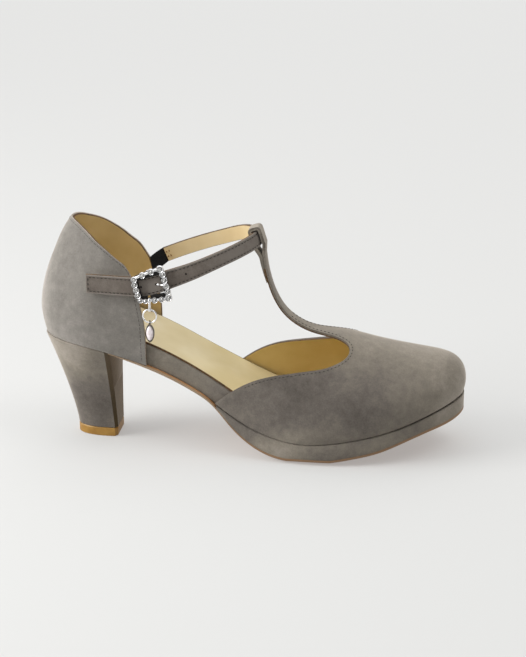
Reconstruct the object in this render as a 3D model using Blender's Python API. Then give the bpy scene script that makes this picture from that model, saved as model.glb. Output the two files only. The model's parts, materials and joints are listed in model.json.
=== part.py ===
"""Women's T-strap platform pump with an open waist and an ankle strap, the right shoe, in metres.

+X points to the toe, +Y to the inner (medial) side and +Z up. The origin is on the floor under the
middle of the shoe. The upper follows one last: its plan outline, its feather line (where the upper
meets the sole), its back curve and its ridge are the functions and short tables below.
"""
import math

import bmesh
import bpy
import numpy as np
from mathutils import Vector

# Driving dimensions of the last
SEAT_BACK = -0.1160
FEATHER_TIP = 0.1170
HEEL_ROUND = 0.0320
HEEL_HALF_WIDTH = 0.0272
WAIST_X = -0.034
BALL_X = {-1: 0.038, 1: 0.046}
WAIST_HALF_WIDTH = {-1: 0.0263, 1: 0.0252}
BALL_HALF_WIDTH = {-1: 0.0383, 1: 0.0380}
TIP_SWING = 0.006
TOE_POWER = 2.2
TOE_ROOT = 2.1
SECTION_POWER = 2.3
UPPER_BULGE = 0.0012
BULGE_TOP = math.radians(50)
BULGE_FULL_WIDTH = 0.0200

# Driving dimensions of the made pieces
UPPER_WALL = 0.0018
COUNTER_WALL = 0.0022
COLLAR_HEIGHT = 0.0651
COLLAR_PINCH = 0.36
PINCH_FOOT = 0.0120
PINCH_TURN = (0.35, 0.85)
MEETING_GAP = 0.0003
OUTSOLE_THICKNESS = 0.0017
OUTSOLE_BACK = -0.0766
PLATFORM_BACK = -0.0165
TOE_REACH = 0.0012
TOE_REACH_FROM = 0.0700
SOLE_INSET = 0.0005
PLATFORM_BULGE = 1.012
SOLE_FLAT_SHARE = 0.60
SOLE_EDGE_LIFT = 0.0017
EDGE_LIFT_FROM = -0.0200
EDGE_LIFT_RUN = 0.0350
EDGE_LIFT_TIP = 0.0200
FOOTBED_INSET = UPPER_WALL + 0.0010
FOOTBED_END = FOOTBED_INSET + 0.0006
FOOTBED_LOW_SHARE = 0.985
FOOTBED_TOP_SHARE = 0.965
FOOTBED_BEVEL = 0.0006
FOOTBED_SOFT_EDGE = 0.15
SOCK_END = FOOTBED_INSET + 0.0012
SOCK_SHARE = 0.955
SOCK_THICKNESS = 0.0009
QUARTER_FRONT = -0.0552
STRAP_WIDTH = 0.0082
STRAP_TAIL_WIDTH = 0.0106
STRAP_THICKNESS = 0.0022
STRAP_LEAN = math.radians(18.0)
LOOP_PLAY = 0.0008
LOOP_CORNER = 0.0022
LOOP_FOOT = 0.0040
LOOP_TAIL_RIBS = (12.75, 11.30)
TOP_PIECE_HEIGHT = 0.0050
TOP_PIECE_BEVEL = 0.0005
HEEL_TIP_HALF_WIDTH = 0.0105
HEEL_TIP_BACK = -0.0993
HEEL_SEAT_HALF_WIDTH = HEEL_HALF_WIDTH - 0.0006
HEEL_BACK_SWEEP = 1.3
HEEL_SIDE_SWEEP = 1.25
HEEL_CHAMFER = 0.0015
HEEL_FULL_BEFORE = 1.12
HEEL_BACK_POWER = 0.85
BREAST_SHARE = {"tip": 0.78, "seat": 0.68}
BREAST_TOP = -0.0772
BREAST_BOTTOM = -0.0755

# Feather line: x along the shoe, height of the line
FEATHER = [
    (-0.1160, 0.0615), (-0.1000, 0.0605), (-0.0850, 0.0581), (-0.0700, 0.0542), (-0.0560, 0.0499),
    (-0.0420, 0.0438), (-0.0280, 0.0363), (-0.0140, 0.0272), (0.0000, 0.0192), (0.0140, 0.0144),
    (0.0300, 0.0120), (0.0460, 0.0129), (0.0660, 0.0163), (0.0860, 0.0215), (0.1040, 0.0276),
    (0.1175, 0.0316),
]
# Underside of the sole on its middle line: x, height (below zero stands for the flat tread)
TREAD = [
    (-0.0800, 0.0563), (-0.0560, 0.0478), (-0.0420, 0.0417), (-0.0280, 0.0342), (-0.0200, 0.0289),
    (-0.0140, 0.0228), (-0.0080, 0.0161), (0.0000, 0.0093), (0.0080, 0.0046), (0.0160, 0.0015),
    (0.0250, -0.0003), (0.0450, -0.0003), (0.0600, 0.0024), (0.0740, 0.0057), (0.0900, 0.0119),
    (0.1040, 0.0168), (0.1175, 0.0221),
]
# Top of the footbed: x, height
FOOTBED_TOP = [
    (-0.1160, 0.0703), (-0.1000, 0.0706), (-0.0850, 0.0692), (-0.0700, 0.0660), (-0.0560, 0.0612),
    (-0.0420, 0.0549), (-0.0280, 0.0475), (-0.0140, 0.0396), (0.0000, 0.0315), (0.0140, 0.0243),
    (0.0300, 0.0186), (0.0460, 0.0167), (0.0660, 0.0193), (0.0860, 0.0244), (0.1040, 0.0304),
    (0.1175, 0.0344),
]
# Ribs of the vamp, from the toe back: feather x, ridge x, ridge height
RIBS = [
    (0.1170, 0.1170, 0.0315), (0.1148, 0.1184, 0.0385), (0.1080, 0.1163, 0.0465),
    (0.0970, 0.1090, 0.0523), (0.0830, 0.0960, 0.0552), (0.0670, 0.0810, 0.0578),
    (0.0500, 0.0650, 0.0614), (0.0340, 0.0500, 0.0652), (0.0190, 0.0365, 0.0672),
    (0.0060, 0.0260, 0.0713), (-0.0060, 0.0176, 0.0788), (-0.0175, 0.0119, 0.0900),
    (-0.0280, 0.0090, 0.1010), (-0.0380, 0.0078, 0.1095),
]
# Edge of each side opening: share of the way back, rise angle of the wing, half width of the T-strap
THROAT_RIB = 6.54
WING_END_RIB = 11.0
THROAT = [
    (0.00, 65.5, 0.0180), (0.12, 59.0, 0.0136), (0.25, 53.0, 0.0104), (0.40, 47.0, 0.0076),
    (0.55, 42.5, 0.0057), (0.70, 35.5, 0.0048), (0.82, 26.5, 0.0044), (0.92, 14.0, 0.0041),
    (1.00, 0.0, 0.0040),
]
# Back of the quarter by height over the feather: height, back x, width share, front edge x
QUARTER = [
    (0.0000, -0.1160, 1.000, -0.0552), (0.0045, -0.1171, 1.015, -0.0553), (0.0130, -0.1184, 1.030, -0.0554),
    (0.0230, -0.1175, 1.020, -0.0560), (0.0350, -0.1145, 0.980, -0.0585), (0.0470, -0.1099, 0.915, -0.0612),
    (0.0590, -0.1043, 0.830, -0.0640), (0.0670, -0.0990, 0.765, -0.0660),
]
# Topline of the quarter: share of the way from the back to the front edge, height over the feather
TOPLINE = [
    (0.00, 0.0651), (0.15, 0.0651), (0.30, 0.0646), (0.45, 0.0633), (0.60, 0.0614), (0.72, 0.0593),
    (0.82, 0.0574), (0.90, 0.0553), (0.96, 0.0526), (1.00, 0.0470),
]
# Middle line of the ankle strap, from its inner end round the front to the tail: x, y, z. Both side runs
# fall in a straight line from the front, and the tail is level.
STRAP_ROUTE = [
    (-0.0530, 0.0275, 0.0970), (-0.0430, 0.0280, 0.1010), (-0.0310, 0.0275, 0.1055),
    (-0.0200, 0.0255, 0.1095), (-0.0085, 0.0205, 0.1140), (-0.0010, 0.0125, 0.1165),
    (0.0025, 0.0045, 0.1175), (0.0025, -0.0045, 0.1175), (-0.0010, -0.0125, 0.1165),
    (-0.0085, -0.0205, 0.1140), (-0.0200, -0.0262, 0.1095), (-0.0310, -0.0288, 0.1050),
    (-0.0420, -0.0302, 0.1010), (-0.0520, -0.0309, 0.0975), (-0.0620, -0.0307, 0.0965),
    (-0.0720, -0.0300, 0.0965), (-0.0800, -0.0293, 0.0965), (-0.0870, -0.0286, 0.0965),
]
# Knots of the route over which the strap widens, and the knot in the middle of the front
STRAP_WIDENS = (9.0, 13.0)
STRAP_FRONT_KNOT = 6.5
# Elastic tabs, from the quarter's front edge to the buckle's bar (outer side, -1) or to the strap's end
# (inner side, 1): low edge x, low edge z, high edge x, high edge z, y
ELASTIC_THICKNESS = 0.0010
ELASTICS = {
    -1: [(-0.0587, 0.0885, -0.0605, 0.0970, -0.0238), (-0.0546, 0.0899, -0.0573, 0.0990, -0.0262),
         (-0.0505, 0.0925, -0.0533, 0.1013, -0.0283)],
    1: [(-0.0587, 0.0882, -0.0605, 0.0968, 0.0238), (-0.0554, 0.0905, -0.0578, 0.0987, 0.0257),
        (-0.0520, 0.0932, -0.0549, 0.1004, 0.0272)],
}

# Buckle and charm
BUCKLE_AT = (-0.0505, 0.0975)
BUCKLE_HALF_LENGTH = 0.0082
BUCKLE_REAR_HALF = 0.0065
BUCKLE_FRONT_HALF = 0.0089
BUCKLE_CORNER = 0.0022
BUCKLE_KNOTS = (11, 15)
# Beads are counted from the rear low corner; these sit at the four corners, the last closing the ring
CORNER_BEADS = (0, 4, 9, 12, 16)
CHARM_BEAD = 1.25
CHARM_ROOM = 0.3
BEAD_RADIUS = 0.00155
BEAD_POWER = 0.7
RAIL_RADIUS = 0.00080
CENTRE_BAR_RADIUS = 0.00070
CENTRE_BAR_BEND = 0.0010
PRONG_RADIUS = 0.00060
LINK_BEND = 0.00145
LINK_REACH = 0.0048
LINK_WIRE = 0.00042
RING_RADIUS = 0.0037
RING_WIRE = 0.00045
DROP_EYE = 0.00105
DROP_EYE_WIRE = 0.00035
DROP_LENGTH = 0.0105
DROP_HALF_WIDTH = 0.0025
DROP_HALF_DEPTH = 0.0016
DROP_NECK = 0.06
DROP_LAP = 0.0004
CHARM_PLAY = 0.00015

SUEDE = ((0.235, 0.215, 0.195), 0.95, 0.0)
SOCK_LEATHER = ((0.620, 0.500, 0.320), 0.55, 0.0)
SOLE_TAN = ((0.420, 0.230, 0.120), 0.60, 0.0)
TOP_PIECE_RUBBER = ((0.560, 0.330, 0.130), 0.60, 0.0)
ELASTIC_BLACK = ((0.010, 0.010, 0.011), 0.85, 0.0)
SILVER = ((0.800, 0.800, 0.820), 0.18, 1.0)


def spline(rows):
    """Natural cubic curve through rows whose first column is the knot."""
    table = np.array(rows, float)
    knot, value = table[:, 0], table[:, 1:]
    count, step = len(knot), np.diff(knot)
    system, right = np.zeros((count, count)), np.zeros_like(value)
    system[0, 0] = system[-1, -1] = 1.0
    for i in range(1, count - 1):
        system[i, i - 1:i + 2] = step[i - 1], 2 * (step[i - 1] + step[i]), step[i]
        right[i] = 6 * ((value[i + 1] - value[i]) / step[i] - (value[i] - value[i - 1]) / step[i - 1])
    bend = np.linalg.solve(system, right)

    def at(t):
        t = np.asarray(t, float)
        i = np.clip(np.searchsorted(knot, t) - 1, 0, count - 2)
        past, left, wide = (t - knot[i])[..., None], (knot[i + 1] - t)[..., None], step[i][..., None]
        curve = (bend[i] * left**3 + bend[i + 1] * past**3) / (6 * wide)
        line = (value[i] / wide - bend[i] * wide / 6) * left
        line = line + (value[i + 1] / wide - bend[i + 1] * wide / 6) * past
        return np.squeeze(curve + line, -1) if value.shape[1] == 1 else curve + line
    return at


def smooth_step(t):
    t = np.clip(t, 0.0, 1.0)
    return t * t * (3 - 2 * t)


feather_z = spline(FEATHER)
tread_curve = spline(TREAD)
footbed_top_z = spline(FOOTBED_TOP)
rib_curve = spline([(i, *row) for i, row in enumerate(RIBS)])
throat_curve = spline(THROAT)
quarter_curve = spline(QUARTER)
topline_h = spline(TOPLINE)


def half_width(x, side, inset=0.0):
    """Half width of the feather outline: heel ellipse, waist, ball, then a superellipse to the tip.

    Inset draws the whole outline in by that much.
    """
    x = np.asarray(x, float)
    back = 1 - np.clip((x - SEAT_BACK - inset) / (HEEL_ROUND - inset), 0, 1)
    heel = (HEEL_HALF_WIDTH - inset) * np.sqrt(np.clip(1 - back**2, 0, 1))
    seat_end = SEAT_BACK + HEEL_ROUND
    to_waist = smooth_step((x - seat_end) / (WAIST_X - seat_end))
    to_ball = smooth_step((x - WAIST_X) / (BALL_X[side] - WAIST_X))
    waist = (WAIST_HALF_WIDTH[side] - HEEL_HALF_WIDTH) * to_waist
    ball = (BALL_HALF_WIDTH[side] - WAIST_HALF_WIDTH[side]) * to_ball
    toe = np.clip((x - BALL_X[side]) / (FEATHER_TIP - inset - BALL_X[side]), 0, 1)
    return (heel + waist + ball) * (1 - toe**TOE_POWER)**(1 / TOE_ROOT)


def axis_y(x):
    """Swing of the toe towards the inner side."""
    toe = np.clip((np.asarray(x, float) - BALL_X[-1]) / (FEATHER_TIP - BALL_X[-1]), 0, 1)
    return TIP_SWING * toe**2


def vamp_point(rib, rise, side):
    """Point of the vamp: superellipse arc from the feather (rise 0) to the ridge (rise 90 degrees)."""
    feather_x, ridge_x, ridge_z = np.moveaxis(rib_curve(rib), -1, 0)
    base_z, base_y = feather_z(feather_x), axis_y(feather_x)
    wide = half_width(feather_x, side)
    across, up = np.cos(rise)**(2 / SECTION_POWER), np.sin(rise)**(2 / SECTION_POWER)
    swell = np.sin(np.pi * np.clip(rise / BULGE_TOP, 0, 1))
    puff = UPPER_BULGE * swell * np.clip(wide / BULGE_FULL_WIDTH, 0, 1)
    return np.stack([
        feather_x + up * (ridge_x - feather_x),
        base_y + up * (axis_y(ridge_x) - base_y) + side * (wide * across + puff),
        base_z + up * (ridge_z - base_z)], -1)


def quarter_point(around, height):
    """Point of the quarter: around runs from -1 (lateral front edge) through the back to 1 (medial)."""
    side_way = np.abs(around)
    way = 1 - np.cos(np.pi / 2 * side_way)
    foot_x = SEAT_BACK + (QUARTER_FRONT - SEAT_BACK) * way
    back_x, narrowing, front_x = np.moveaxis(quarter_curve(height), -1, 0)
    high = smooth_step((height - PINCH_FOOT) / (COLLAR_HEIGHT - PINCH_FOOT))
    behind = 1 - smooth_step((side_way - PINCH_TURN[0]) / (PINCH_TURN[1] - PINCH_TURN[0]))
    wide = np.where(around < 0, -half_width(foot_x, -1), half_width(foot_x, 1))
    wide = wide * narrowing * (1 - COLLAR_PINCH * high * behind)
    return np.stack([back_x + (front_x - back_x) * way, wide, feather_z(foot_x) + height], -1)


def grid_faces(rows, columns, start=0, closed=False):
    """Quads of a grid of points stored row by row; closed joins the last column to the first."""
    faces = []
    for r in range(rows - 1):
        for c in range(columns if closed else columns - 1):
            a, b = start + r * columns + c, start + r * columns + (c + 1) % columns
            faces.append((a, b, b + columns, a + columns))
    return faces


def paint(name, finish):
    colour, roughness, metallic = finish
    material = bpy.data.materials.new(name)
    material.use_nodes = True
    shader = material.node_tree.nodes["Principled BSDF"]
    shader.inputs["Base Color"].default_value = (*colour, 1.0)
    shader.inputs["Roughness"].default_value = roughness
    shader.inputs["Metallic"].default_value = metallic
    return material


def piece(name, points, faces, finish, origin=(0.0, 0.0, 0.0), smooth_angle=40.0):
    """Named object from points and faces, with coinciding points merged and faces turned outwards."""
    mesh = bpy.data.meshes.new(name)
    mesh.from_pydata((np.asarray(points, float) - origin).tolist(), [], [list(map(int, f)) for f in faces])
    body = bmesh.new()
    body.from_mesh(mesh)
    bmesh.ops.remove_doubles(body, verts=body.verts, dist=2e-6)
    bmesh.ops.recalc_face_normals(body, faces=body.faces)
    body.to_mesh(mesh)
    body.free()
    mesh.shade_smooth()
    mesh.set_sharp_from_angle(angle=math.radians(smooth_angle))
    mesh.materials.append(paint(name, finish))
    result = bpy.data.objects.new(name, mesh)
    result.location = origin
    result.parent = shoe
    bpy.context.collection.objects.link(result)
    return result


def shell(name, sheet, faces, wall, finish):
    """Closed wall: the sheet, a copy of it moved inwards along its normals, and a rim between them."""
    _, first, index = np.unique(np.round(sheet, 6), axis=0, return_index=True, return_inverse=True)
    outer = np.asarray(sheet)[first]
    index = index.reshape(-1)
    merged = [tuple(dict.fromkeys(int(index[v]) for v in face)) for face in faces]
    merged = [face for face in merged if len(face) > 2]
    normal = np.zeros_like(outer)
    edges = {}
    for face in merged:
        corner = outer[list(face)]
        side = corner[1:] - corner[0]
        spread = np.cross(side[:-1], side[1:]).sum(0)
        normal[list(face)] += spread / max(np.linalg.norm(spread), 1e-12)
        for a, b in zip(face, face[1:] + face[:1]):
            edges[(a, b)] = (b, a) not in edges
            if not edges[(a, b)]:
                edges[(b, a)] = False
    normal /= np.linalg.norm(normal, axis=1)[:, None]
    count = len(outer)
    rim = [(b, a, a + count, b + count) for (a, b), open_edge in edges.items() if open_edge]
    inside = [tuple(v + count for v in reversed(face)) for face in merged]
    return piece(name, np.concatenate([outer, outer - wall * normal]), merged + inside + rim, finish)


def loft(name, sections, finish, origin=(0.0, 0.0, 0.0)):
    """Closed solid through closed sections of equal point counts, capped at both ends."""
    rows, columns = sections.shape[:2]
    faces = grid_faces(rows, columns, closed=True)
    faces += [tuple(range(columns)), tuple(range((rows - 1) * columns, rows * columns))]
    return piece(name, sections.reshape(-1, 3), faces, finish, origin)


def stations(start, end, count, round_start=False, round_end=False):
    """Places along X, drawn together towards an end where the outline closes in a round."""
    t = np.linspace(0, 1, count)
    if round_start and round_end:
        t = (1 - np.cos(np.pi * t)) / 2
    elif round_start:
        t = 1 - np.cos(np.pi / 2 * t)
    elif round_end:
        t = np.sin(np.pi / 2 * t)
    return start + (end - start) * t


def ladder(x, inset, shares, heights, reach=0.0):
    """Sections across the shoe: at each x, points at shares of the half width and given heights.

    Reach carries the toe end that much further forward than the feather line.
    """
    forward = x + reach * smooth_step((x - TOE_REACH_FROM) / (FEATHER_TIP - TOE_REACH_FROM))
    sections = []
    for share, height in zip(shares, heights):
        wide = half_width(x, -1 if share < 0 else 1, inset)
        sections.append(np.stack([forward, axis_y(x) + share * wide, height], -1))
    return np.stack(sections, 1)


def tread_z(x):
    return np.maximum(tread_curve(x), 0.0)


def edge_lift(x):
    """Lift of the tread's edge, none at the waist and at the very tip."""
    ball = smooth_step((x - EDGE_LIFT_FROM) / EDGE_LIFT_RUN)
    tip = np.clip((FEATHER_TIP - SOLE_INSET - x) / EDGE_LIFT_TIP, 0, 1)
    return SOLE_EDGE_LIFT * ball * smooth_step(tip)


def forefoot_stations():
    return stations(PLATFORM_BACK, FEATHER_TIP - SOLE_INSET, 28, round_end=True)


def make_outsole():
    x = np.append(np.linspace(OUTSOLE_BACK, PLATFORM_BACK, 10)[:-1], forefoot_stations())
    low = tread_z(x)
    edge = low + edge_lift(x)
    top = np.minimum(low + OUTSOLE_THICKNESS, feather_z(x) - MEETING_GAP)
    top_edge = np.minimum(edge + OUTSOLE_THICKNESS, feather_z(x) - MEETING_GAP)
    shares = (-1, -SOLE_FLAT_SHARE, SOLE_FLAT_SHARE, 1, 1, SOLE_FLAT_SHARE, -SOLE_FLAT_SHARE, -1)
    heights = (edge, low, low, edge, top_edge, top, top, top_edge)
    loft("outsole", ladder(x, SOLE_INSET, shares, heights, TOE_REACH), SOLE_TAN)


def make_platform():
    x = forefoot_stations()
    low = tread_z(x) + OUTSOLE_THICKNESS + MEETING_GAP
    edge = low + edge_lift(x)
    top = feather_z(x) - MEETING_GAP
    middle = (edge + top) / 2
    shares = (-1, -SOLE_FLAT_SHARE, SOLE_FLAT_SHARE, 1, PLATFORM_BULGE, 1, -1, -PLATFORM_BULGE)
    heights = (edge, low, low, edge, middle, top, top, middle)
    loft("platform", ladder(x, SOLE_INSET, shares, heights, TOE_REACH), SUEDE)


def make_footbed():
    x = stations(SEAT_BACK + FOOTBED_END, FEATHER_TIP - FOOTBED_END, 36, True, True)
    low = feather_z(x) + MEETING_GAP
    top = footbed_top_z(x)
    foot, head = FOOTBED_LOW_SHARE, FOOTBED_TOP_SHARE
    shares = (-foot, foot, 1, 1, head, -head, -1, -1)
    bevel, soft = low + FOOTBED_BEVEL, top - FOOTBED_SOFT_EDGE * (top - low)
    loft("footbed", ladder(x, FOOTBED_INSET, shares, (low, low, bevel, soft, top, top, soft, bevel)), SUEDE)


def make_sock():
    x = stations(SEAT_BACK + SOCK_END, FEATHER_TIP - SOCK_END, 36, True, True)
    low = footbed_top_z(x) + MEETING_GAP
    top = low + SOCK_THICKNESS
    shares = (-SOCK_SHARE, SOCK_SHARE, SOCK_SHARE, -SOCK_SHARE)
    loft("insole_sock", ladder(x, FOOTBED_INSET, shares, (low, low, top, top)), SOCK_LEATHER)


def heel_ring(share, height, shrink=0.0, points=11):
    """Ring of the heel at a share of its height (1 at the seat): round back, chamfers, flat breast."""
    back_x = HEEL_TIP_BACK + (SEAT_BACK - HEEL_TIP_BACK) * share**HEEL_BACK_SWEEP + shrink
    spread = HEEL_SEAT_HALF_WIDTH - HEEL_TIP_HALF_WIDTH
    wide = HEEL_TIP_HALF_WIDTH + spread * share**HEEL_SIDE_SWEEP - shrink
    breast_x = BREAST_BOTTOM + (BREAST_TOP - BREAST_BOTTOM) * share - shrink
    turn = np.linspace(0, 1, points)
    way = 1 - np.cos(np.pi / 2 * turn)
    round_back = np.sin(np.pi / 2 * np.clip(turn * HEEL_FULL_BEFORE, 0, 1))**HEEL_BACK_POWER
    breast_share = BREAST_SHARE["tip"] + (BREAST_SHARE["seat"] - BREAST_SHARE["tip"]) * share
    x = np.append(back_x + (breast_x - HEEL_CHAMFER - back_x) * way, breast_x)
    y = wide * np.append(round_back, breast_share)
    x, y = np.concatenate([x, x[:0:-1]]), np.concatenate([-y, y[:0:-1]])
    return np.stack([x, y, np.full_like(x, height) if np.isscalar(height) else height(x)], -1)


def ring_stack(name, rings, finish):
    """Closed solid from stacked rings; both ends are closed by strips across from side to side."""
    points, count = np.concatenate(rings), len(rings[0])
    faces = grid_faces(len(rings), count, closed=True)
    for start in (0, (len(rings) - 1) * count):
        for k in range((count + 1) // 2 - 1):
            cap = (k, k + 1, (count - k - 1) % count, (count - k) % count)
            faces.append(tuple(dict.fromkeys(start + v for v in cap)))
    piece(name, points, faces, finish)


def make_heel():
    bottom = TOP_PIECE_HEIGHT + MEETING_GAP
    seat = lambda x: feather_z(x) - MEETING_GAP
    rings = []
    for share in np.linspace(0, 1, 9):
        rings.append(heel_ring(share, lambda x, s=share: bottom + s * (seat(x) - bottom)))
    ring_stack("heel_block", rings, SUEDE)
    rings = [heel_ring(0, 0.0, TOP_PIECE_BEVEL), heel_ring(0, TOP_PIECE_BEVEL)]
    rings.append(heel_ring(0, TOP_PIECE_HEIGHT))
    ring_stack("top_piece", rings, TOP_PIECE_RUBBER)


def make_quarter():
    around = np.linspace(1, -1, 41)
    up = np.linspace(0, 1, 12)
    turn, rise = np.meshgrid(around, up)
    sheet = quarter_point(turn, rise * topline_h(np.abs(turn)))
    shell("quarter", sheet.reshape(-1, 3), grid_faces(len(up), len(around)), COUNTER_WALL, SUEDE)


def strap_frame(t):
    """Middle line of the ankle strap with its along, across and outward directions."""
    route = spline([(i, *row) for i, row in enumerate(STRAP_ROUTE)])
    t = np.asarray(t, float)
    along = route(t + 0.01) - route(t - 0.01)
    along /= np.linalg.norm(along, axis=-1, keepdims=True)
    leg = np.array([-math.sin(STRAP_LEAN), 0.0, math.cos(STRAP_LEAN)])
    across = leg - (along @ leg)[..., None] * along
    across /= np.linalg.norm(across, axis=-1, keepdims=True)
    return route(t), along, across, np.cross(across, along)


def strap_width(t):
    """Width of the ankle strap: narrow round the leg, wider at the buckle and the tail."""
    start, end = STRAP_WIDENS
    wider = smooth_step((t - start) / (end - start))
    return STRAP_WIDTH + (STRAP_TAIL_WIDTH - STRAP_WIDTH) * wider


def band(name, low_edge, high_edge, outward, thickness, finish):
    """Flat band between two edge lines in its middle layer."""
    sheet = np.stack([low_edge, high_edge], 1) + thickness / 2 * outward[:, None]
    shell(name, sheet.reshape(-1, 3), grid_faces(len(low_edge), 2), thickness, finish)


def make_ankle_strap():
    t = np.linspace(0, len(STRAP_ROUTE) - 1, 62)
    middle, _, across, outward = strap_frame(t)
    half = strap_width(t)[:, None] / 2 * across
    band("ankle_strap", middle - half, middle + half, outward, STRAP_THICKNESS, SUEDE)


def make_elastics():
    for side, name in ((-1, "buckle_elastic"), (1, "strap_elastic")):
        rows = spline([(i, *row) for i, row in enumerate(ELASTICS[side])])(np.linspace(0, 2, 8))
        low_edge, high_edge = rows[:, [0, 4, 1]], rows[:, [2, 4, 3]]
        along = np.gradient((low_edge + high_edge) / 2, axis=0)
        outward = np.cross(high_edge - low_edge, along)
        outward /= np.linalg.norm(outward, axis=1)[:, None]
        band(name, low_edge, high_edge, outward, ELASTIC_THICKNESS, ELASTIC_BLACK)


def loop_path():
    """Outer line of the T-strap's loop in the middle plane: up the strap's front, over it, down the back.

    The end of it is sewn down behind the T-strap.
    """
    middle, _, across, outward = strap_frame(STRAP_FRONT_KNOT)
    reach = STRAP_THICKNESS / 2 + LOOP_PLAY + UPPER_WALL
    top = STRAP_WIDTH / 2 + MEETING_GAP
    flat = reach - LOOP_CORNER
    turn = np.linspace(0, math.pi / 2, 5)
    offsets = [(reach, -LOOP_FOOT), (reach, 0.0)]
    offsets += [(flat + LOOP_CORNER * math.cos(a), top + LOOP_CORNER * math.sin(a)) for a in turn]
    offsets += [(-flat - LOOP_CORNER * math.sin(a), top + LOOP_CORNER * math.cos(a)) for a in turn]
    offsets += [(-reach, 0.0), (-reach, -LOOP_FOOT)]
    over = [middle + n * outward + w * across for n, w in offsets]
    lap = 2 * UPPER_WALL + MEETING_GAP
    sewn = []
    for rib in np.linspace(*LOOP_TAIL_RIBS, 5):
        _, ridge_x, ridge_z = rib_curve(rib)
        _, run_x, run_z = rib_curve(rib + 0.05) - rib_curve(rib - 0.05)
        run = math.hypot(run_x, run_z)
        sewn.append((ridge_x - lap * run_z / run, 0.0, ridge_z + lap * run_x / run))
    return np.array(over + sewn)


def make_vamp():
    """Toe, two wings and the T-strap with its loop in one wall, split by the two side openings."""
    wing_columns, strap_columns = 8, 6
    share = np.linspace(0, 1, wing_columns + 1)
    points, faces = [], []

    def sheet(rows):
        start = len(points)
        points.extend(np.asarray(rows).reshape(-1, 3))
        faces.extend(grid_faces(len(rows), len(rows[0]), start))

    split = math.radians(THROAT[0][1])
    front = THROAT_RIB * np.linspace(0, 1, 22)**1.15
    back = np.linspace(0, 1, 15)
    back_ribs = THROAT_RIB + (WING_END_RIB - THROAT_RIB) * back**2
    wing_rise = np.radians(throat_curve(back)[:, 0])
    wing_rise[0], wing_rise[-1] = split, 0.0
    strap_half = throat_curve(back)[:, 1]
    for side in (-1, 1):
        order = 1 if side < 0 else -1
        rows = [vamp_point(np.full(wing_columns + 1, r), split * share, side)[::order] for r in front]
        rows += [vamp_point(np.full(wing_columns + 1, r), a * share, side)[::order]
                 for r, a in zip(back_ribs[1:], wing_rise[1:])]
        sheet(rows)
    across = np.linspace(-1, 1, strap_columns + 1)

    def strap_row(rib, edge_rise):
        rise = math.pi / 2 - np.abs(across) * (math.pi / 2 - edge_rise)
        lateral, medial = (vamp_point(np.full(len(across), rib), rise, side) for side in (-1, 1))
        return np.where((across < 0)[:, None], lateral, medial)

    def edge_rise(rib, half):
        wide = half_width(rib_curve(rib)[0], -1)
        return math.acos(min(1.0, half / wide)**(SECTION_POWER / 2))

    rows = [strap_row(r, split) for r in front]
    rows += [strap_row(r, max(split, edge_rise(r, w))) for r, w in zip(back_ribs[1:], strap_half[1:])]
    for rib in np.linspace(WING_END_RIB, len(RIBS) - 1, 7)[1:]:
        rows.append(strap_row(rib, edge_rise(rib, strap_half[-1])))
    for point in loop_path():
        rows.append(point + np.outer(across, (0.0, strap_half[-1], 0.0)))
    sheet(rows)
    shell("vamp", np.array(points), faces, UPPER_WALL, SUEDE)


def buckle_axes():
    """Centre of the buckle on the strap's middle line and the strap's directions there."""
    t = np.linspace(*BUCKLE_KNOTS, 401)
    middle = strap_frame(t)[0]
    nearest = t[np.argmin(np.hypot(middle[:, 0] - BUCKLE_AT[0], middle[:, 2] - BUCKLE_AT[1]))]
    middle, along, across, outward = strap_frame(nearest)
    return middle, -along, across, outward


def buckle_outline(bead):
    """Places of beads, as (along, across) pairs, on a trapezium with round corners, even on each side."""
    rear, front = (-BUCKLE_HALF_LENGTH, BUCKLE_REAR_HALF), (BUCKLE_HALF_LENGTH, BUCKLE_FRONT_HALF)
    corners = [Vector((a, -w)) for a, w in (rear, front)] + [Vector(end) for end in (front, rear)]
    steps = 9
    fine = []
    for i, corner in enumerate(corners):
        start = corner + BUCKLE_CORNER * (corners[i - 1] - corner).normalized()
        end = corner + BUCKLE_CORNER * (corners[(i + 1) % 4] - corner).normalized()
        for t in np.linspace(0, 1, steps):
            fine.append((1 - t)**2 * start + 2 * t * (1 - t) * corner + t**2 * end)
    fine = np.array([*fine, fine[0]])
    length = np.append(0, np.cumsum(np.linalg.norm(np.diff(fine, axis=0), axis=1)))
    at_corner = length[steps // 2:-1:steps]
    place = np.interp(bead, CORNER_BEADS, np.append(at_corner, at_corner[0] + length[-1])) % length[-1]
    return np.stack([np.interp(place, length, fine[:, 0]), np.interp(place, length, fine[:, 1])], -1)


def tube_sections(path, first, second, radius, sides):
    """Rings round a path from two directions across it; radius may change along the path."""
    turn = np.linspace(0, 2 * math.pi, sides, endpoint=False)
    ring = np.cos(turn)[None, :, None] * first[:, None] + np.sin(turn)[None, :, None] * second[:, None]
    return path[:, None] + np.broadcast_to(radius, len(path))[:, None, None] * ring


def closed_tube(name, path, second, radius, sides, finish, origin=(0.0, 0.0, 0.0)):
    """Tube round a closed flat path; second is the direction square to the path's plane."""
    along = np.roll(path, -1, 0) - np.roll(path, 1, 0)
    along /= np.linalg.norm(along, axis=1)[:, None]
    second = np.broadcast_to(second, path.shape)
    rings = tube_sections(path, np.cross(along, second), second, radius, sides)
    rings = np.concatenate([rings, rings[:1]])
    faces = grid_faces(len(rings), sides, closed=True)
    return piece(name, rings.reshape(-1, 3), faces, finish, origin, 60.0)


def open_tube(name, path, reference, radius, sides, finish, origin=(0.0, 0.0, 0.0)):
    """Tube along an open path with flat ends."""
    path = np.array(path, float)
    along = np.gradient(path, axis=0)
    along /= np.linalg.norm(along, axis=1)[:, None]
    first = np.cross(along, reference)
    first /= np.linalg.norm(first, axis=1)[:, None]
    return loft(name, tube_sections(path, first, np.cross(along, first), radius, sides), finish, origin)


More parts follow.
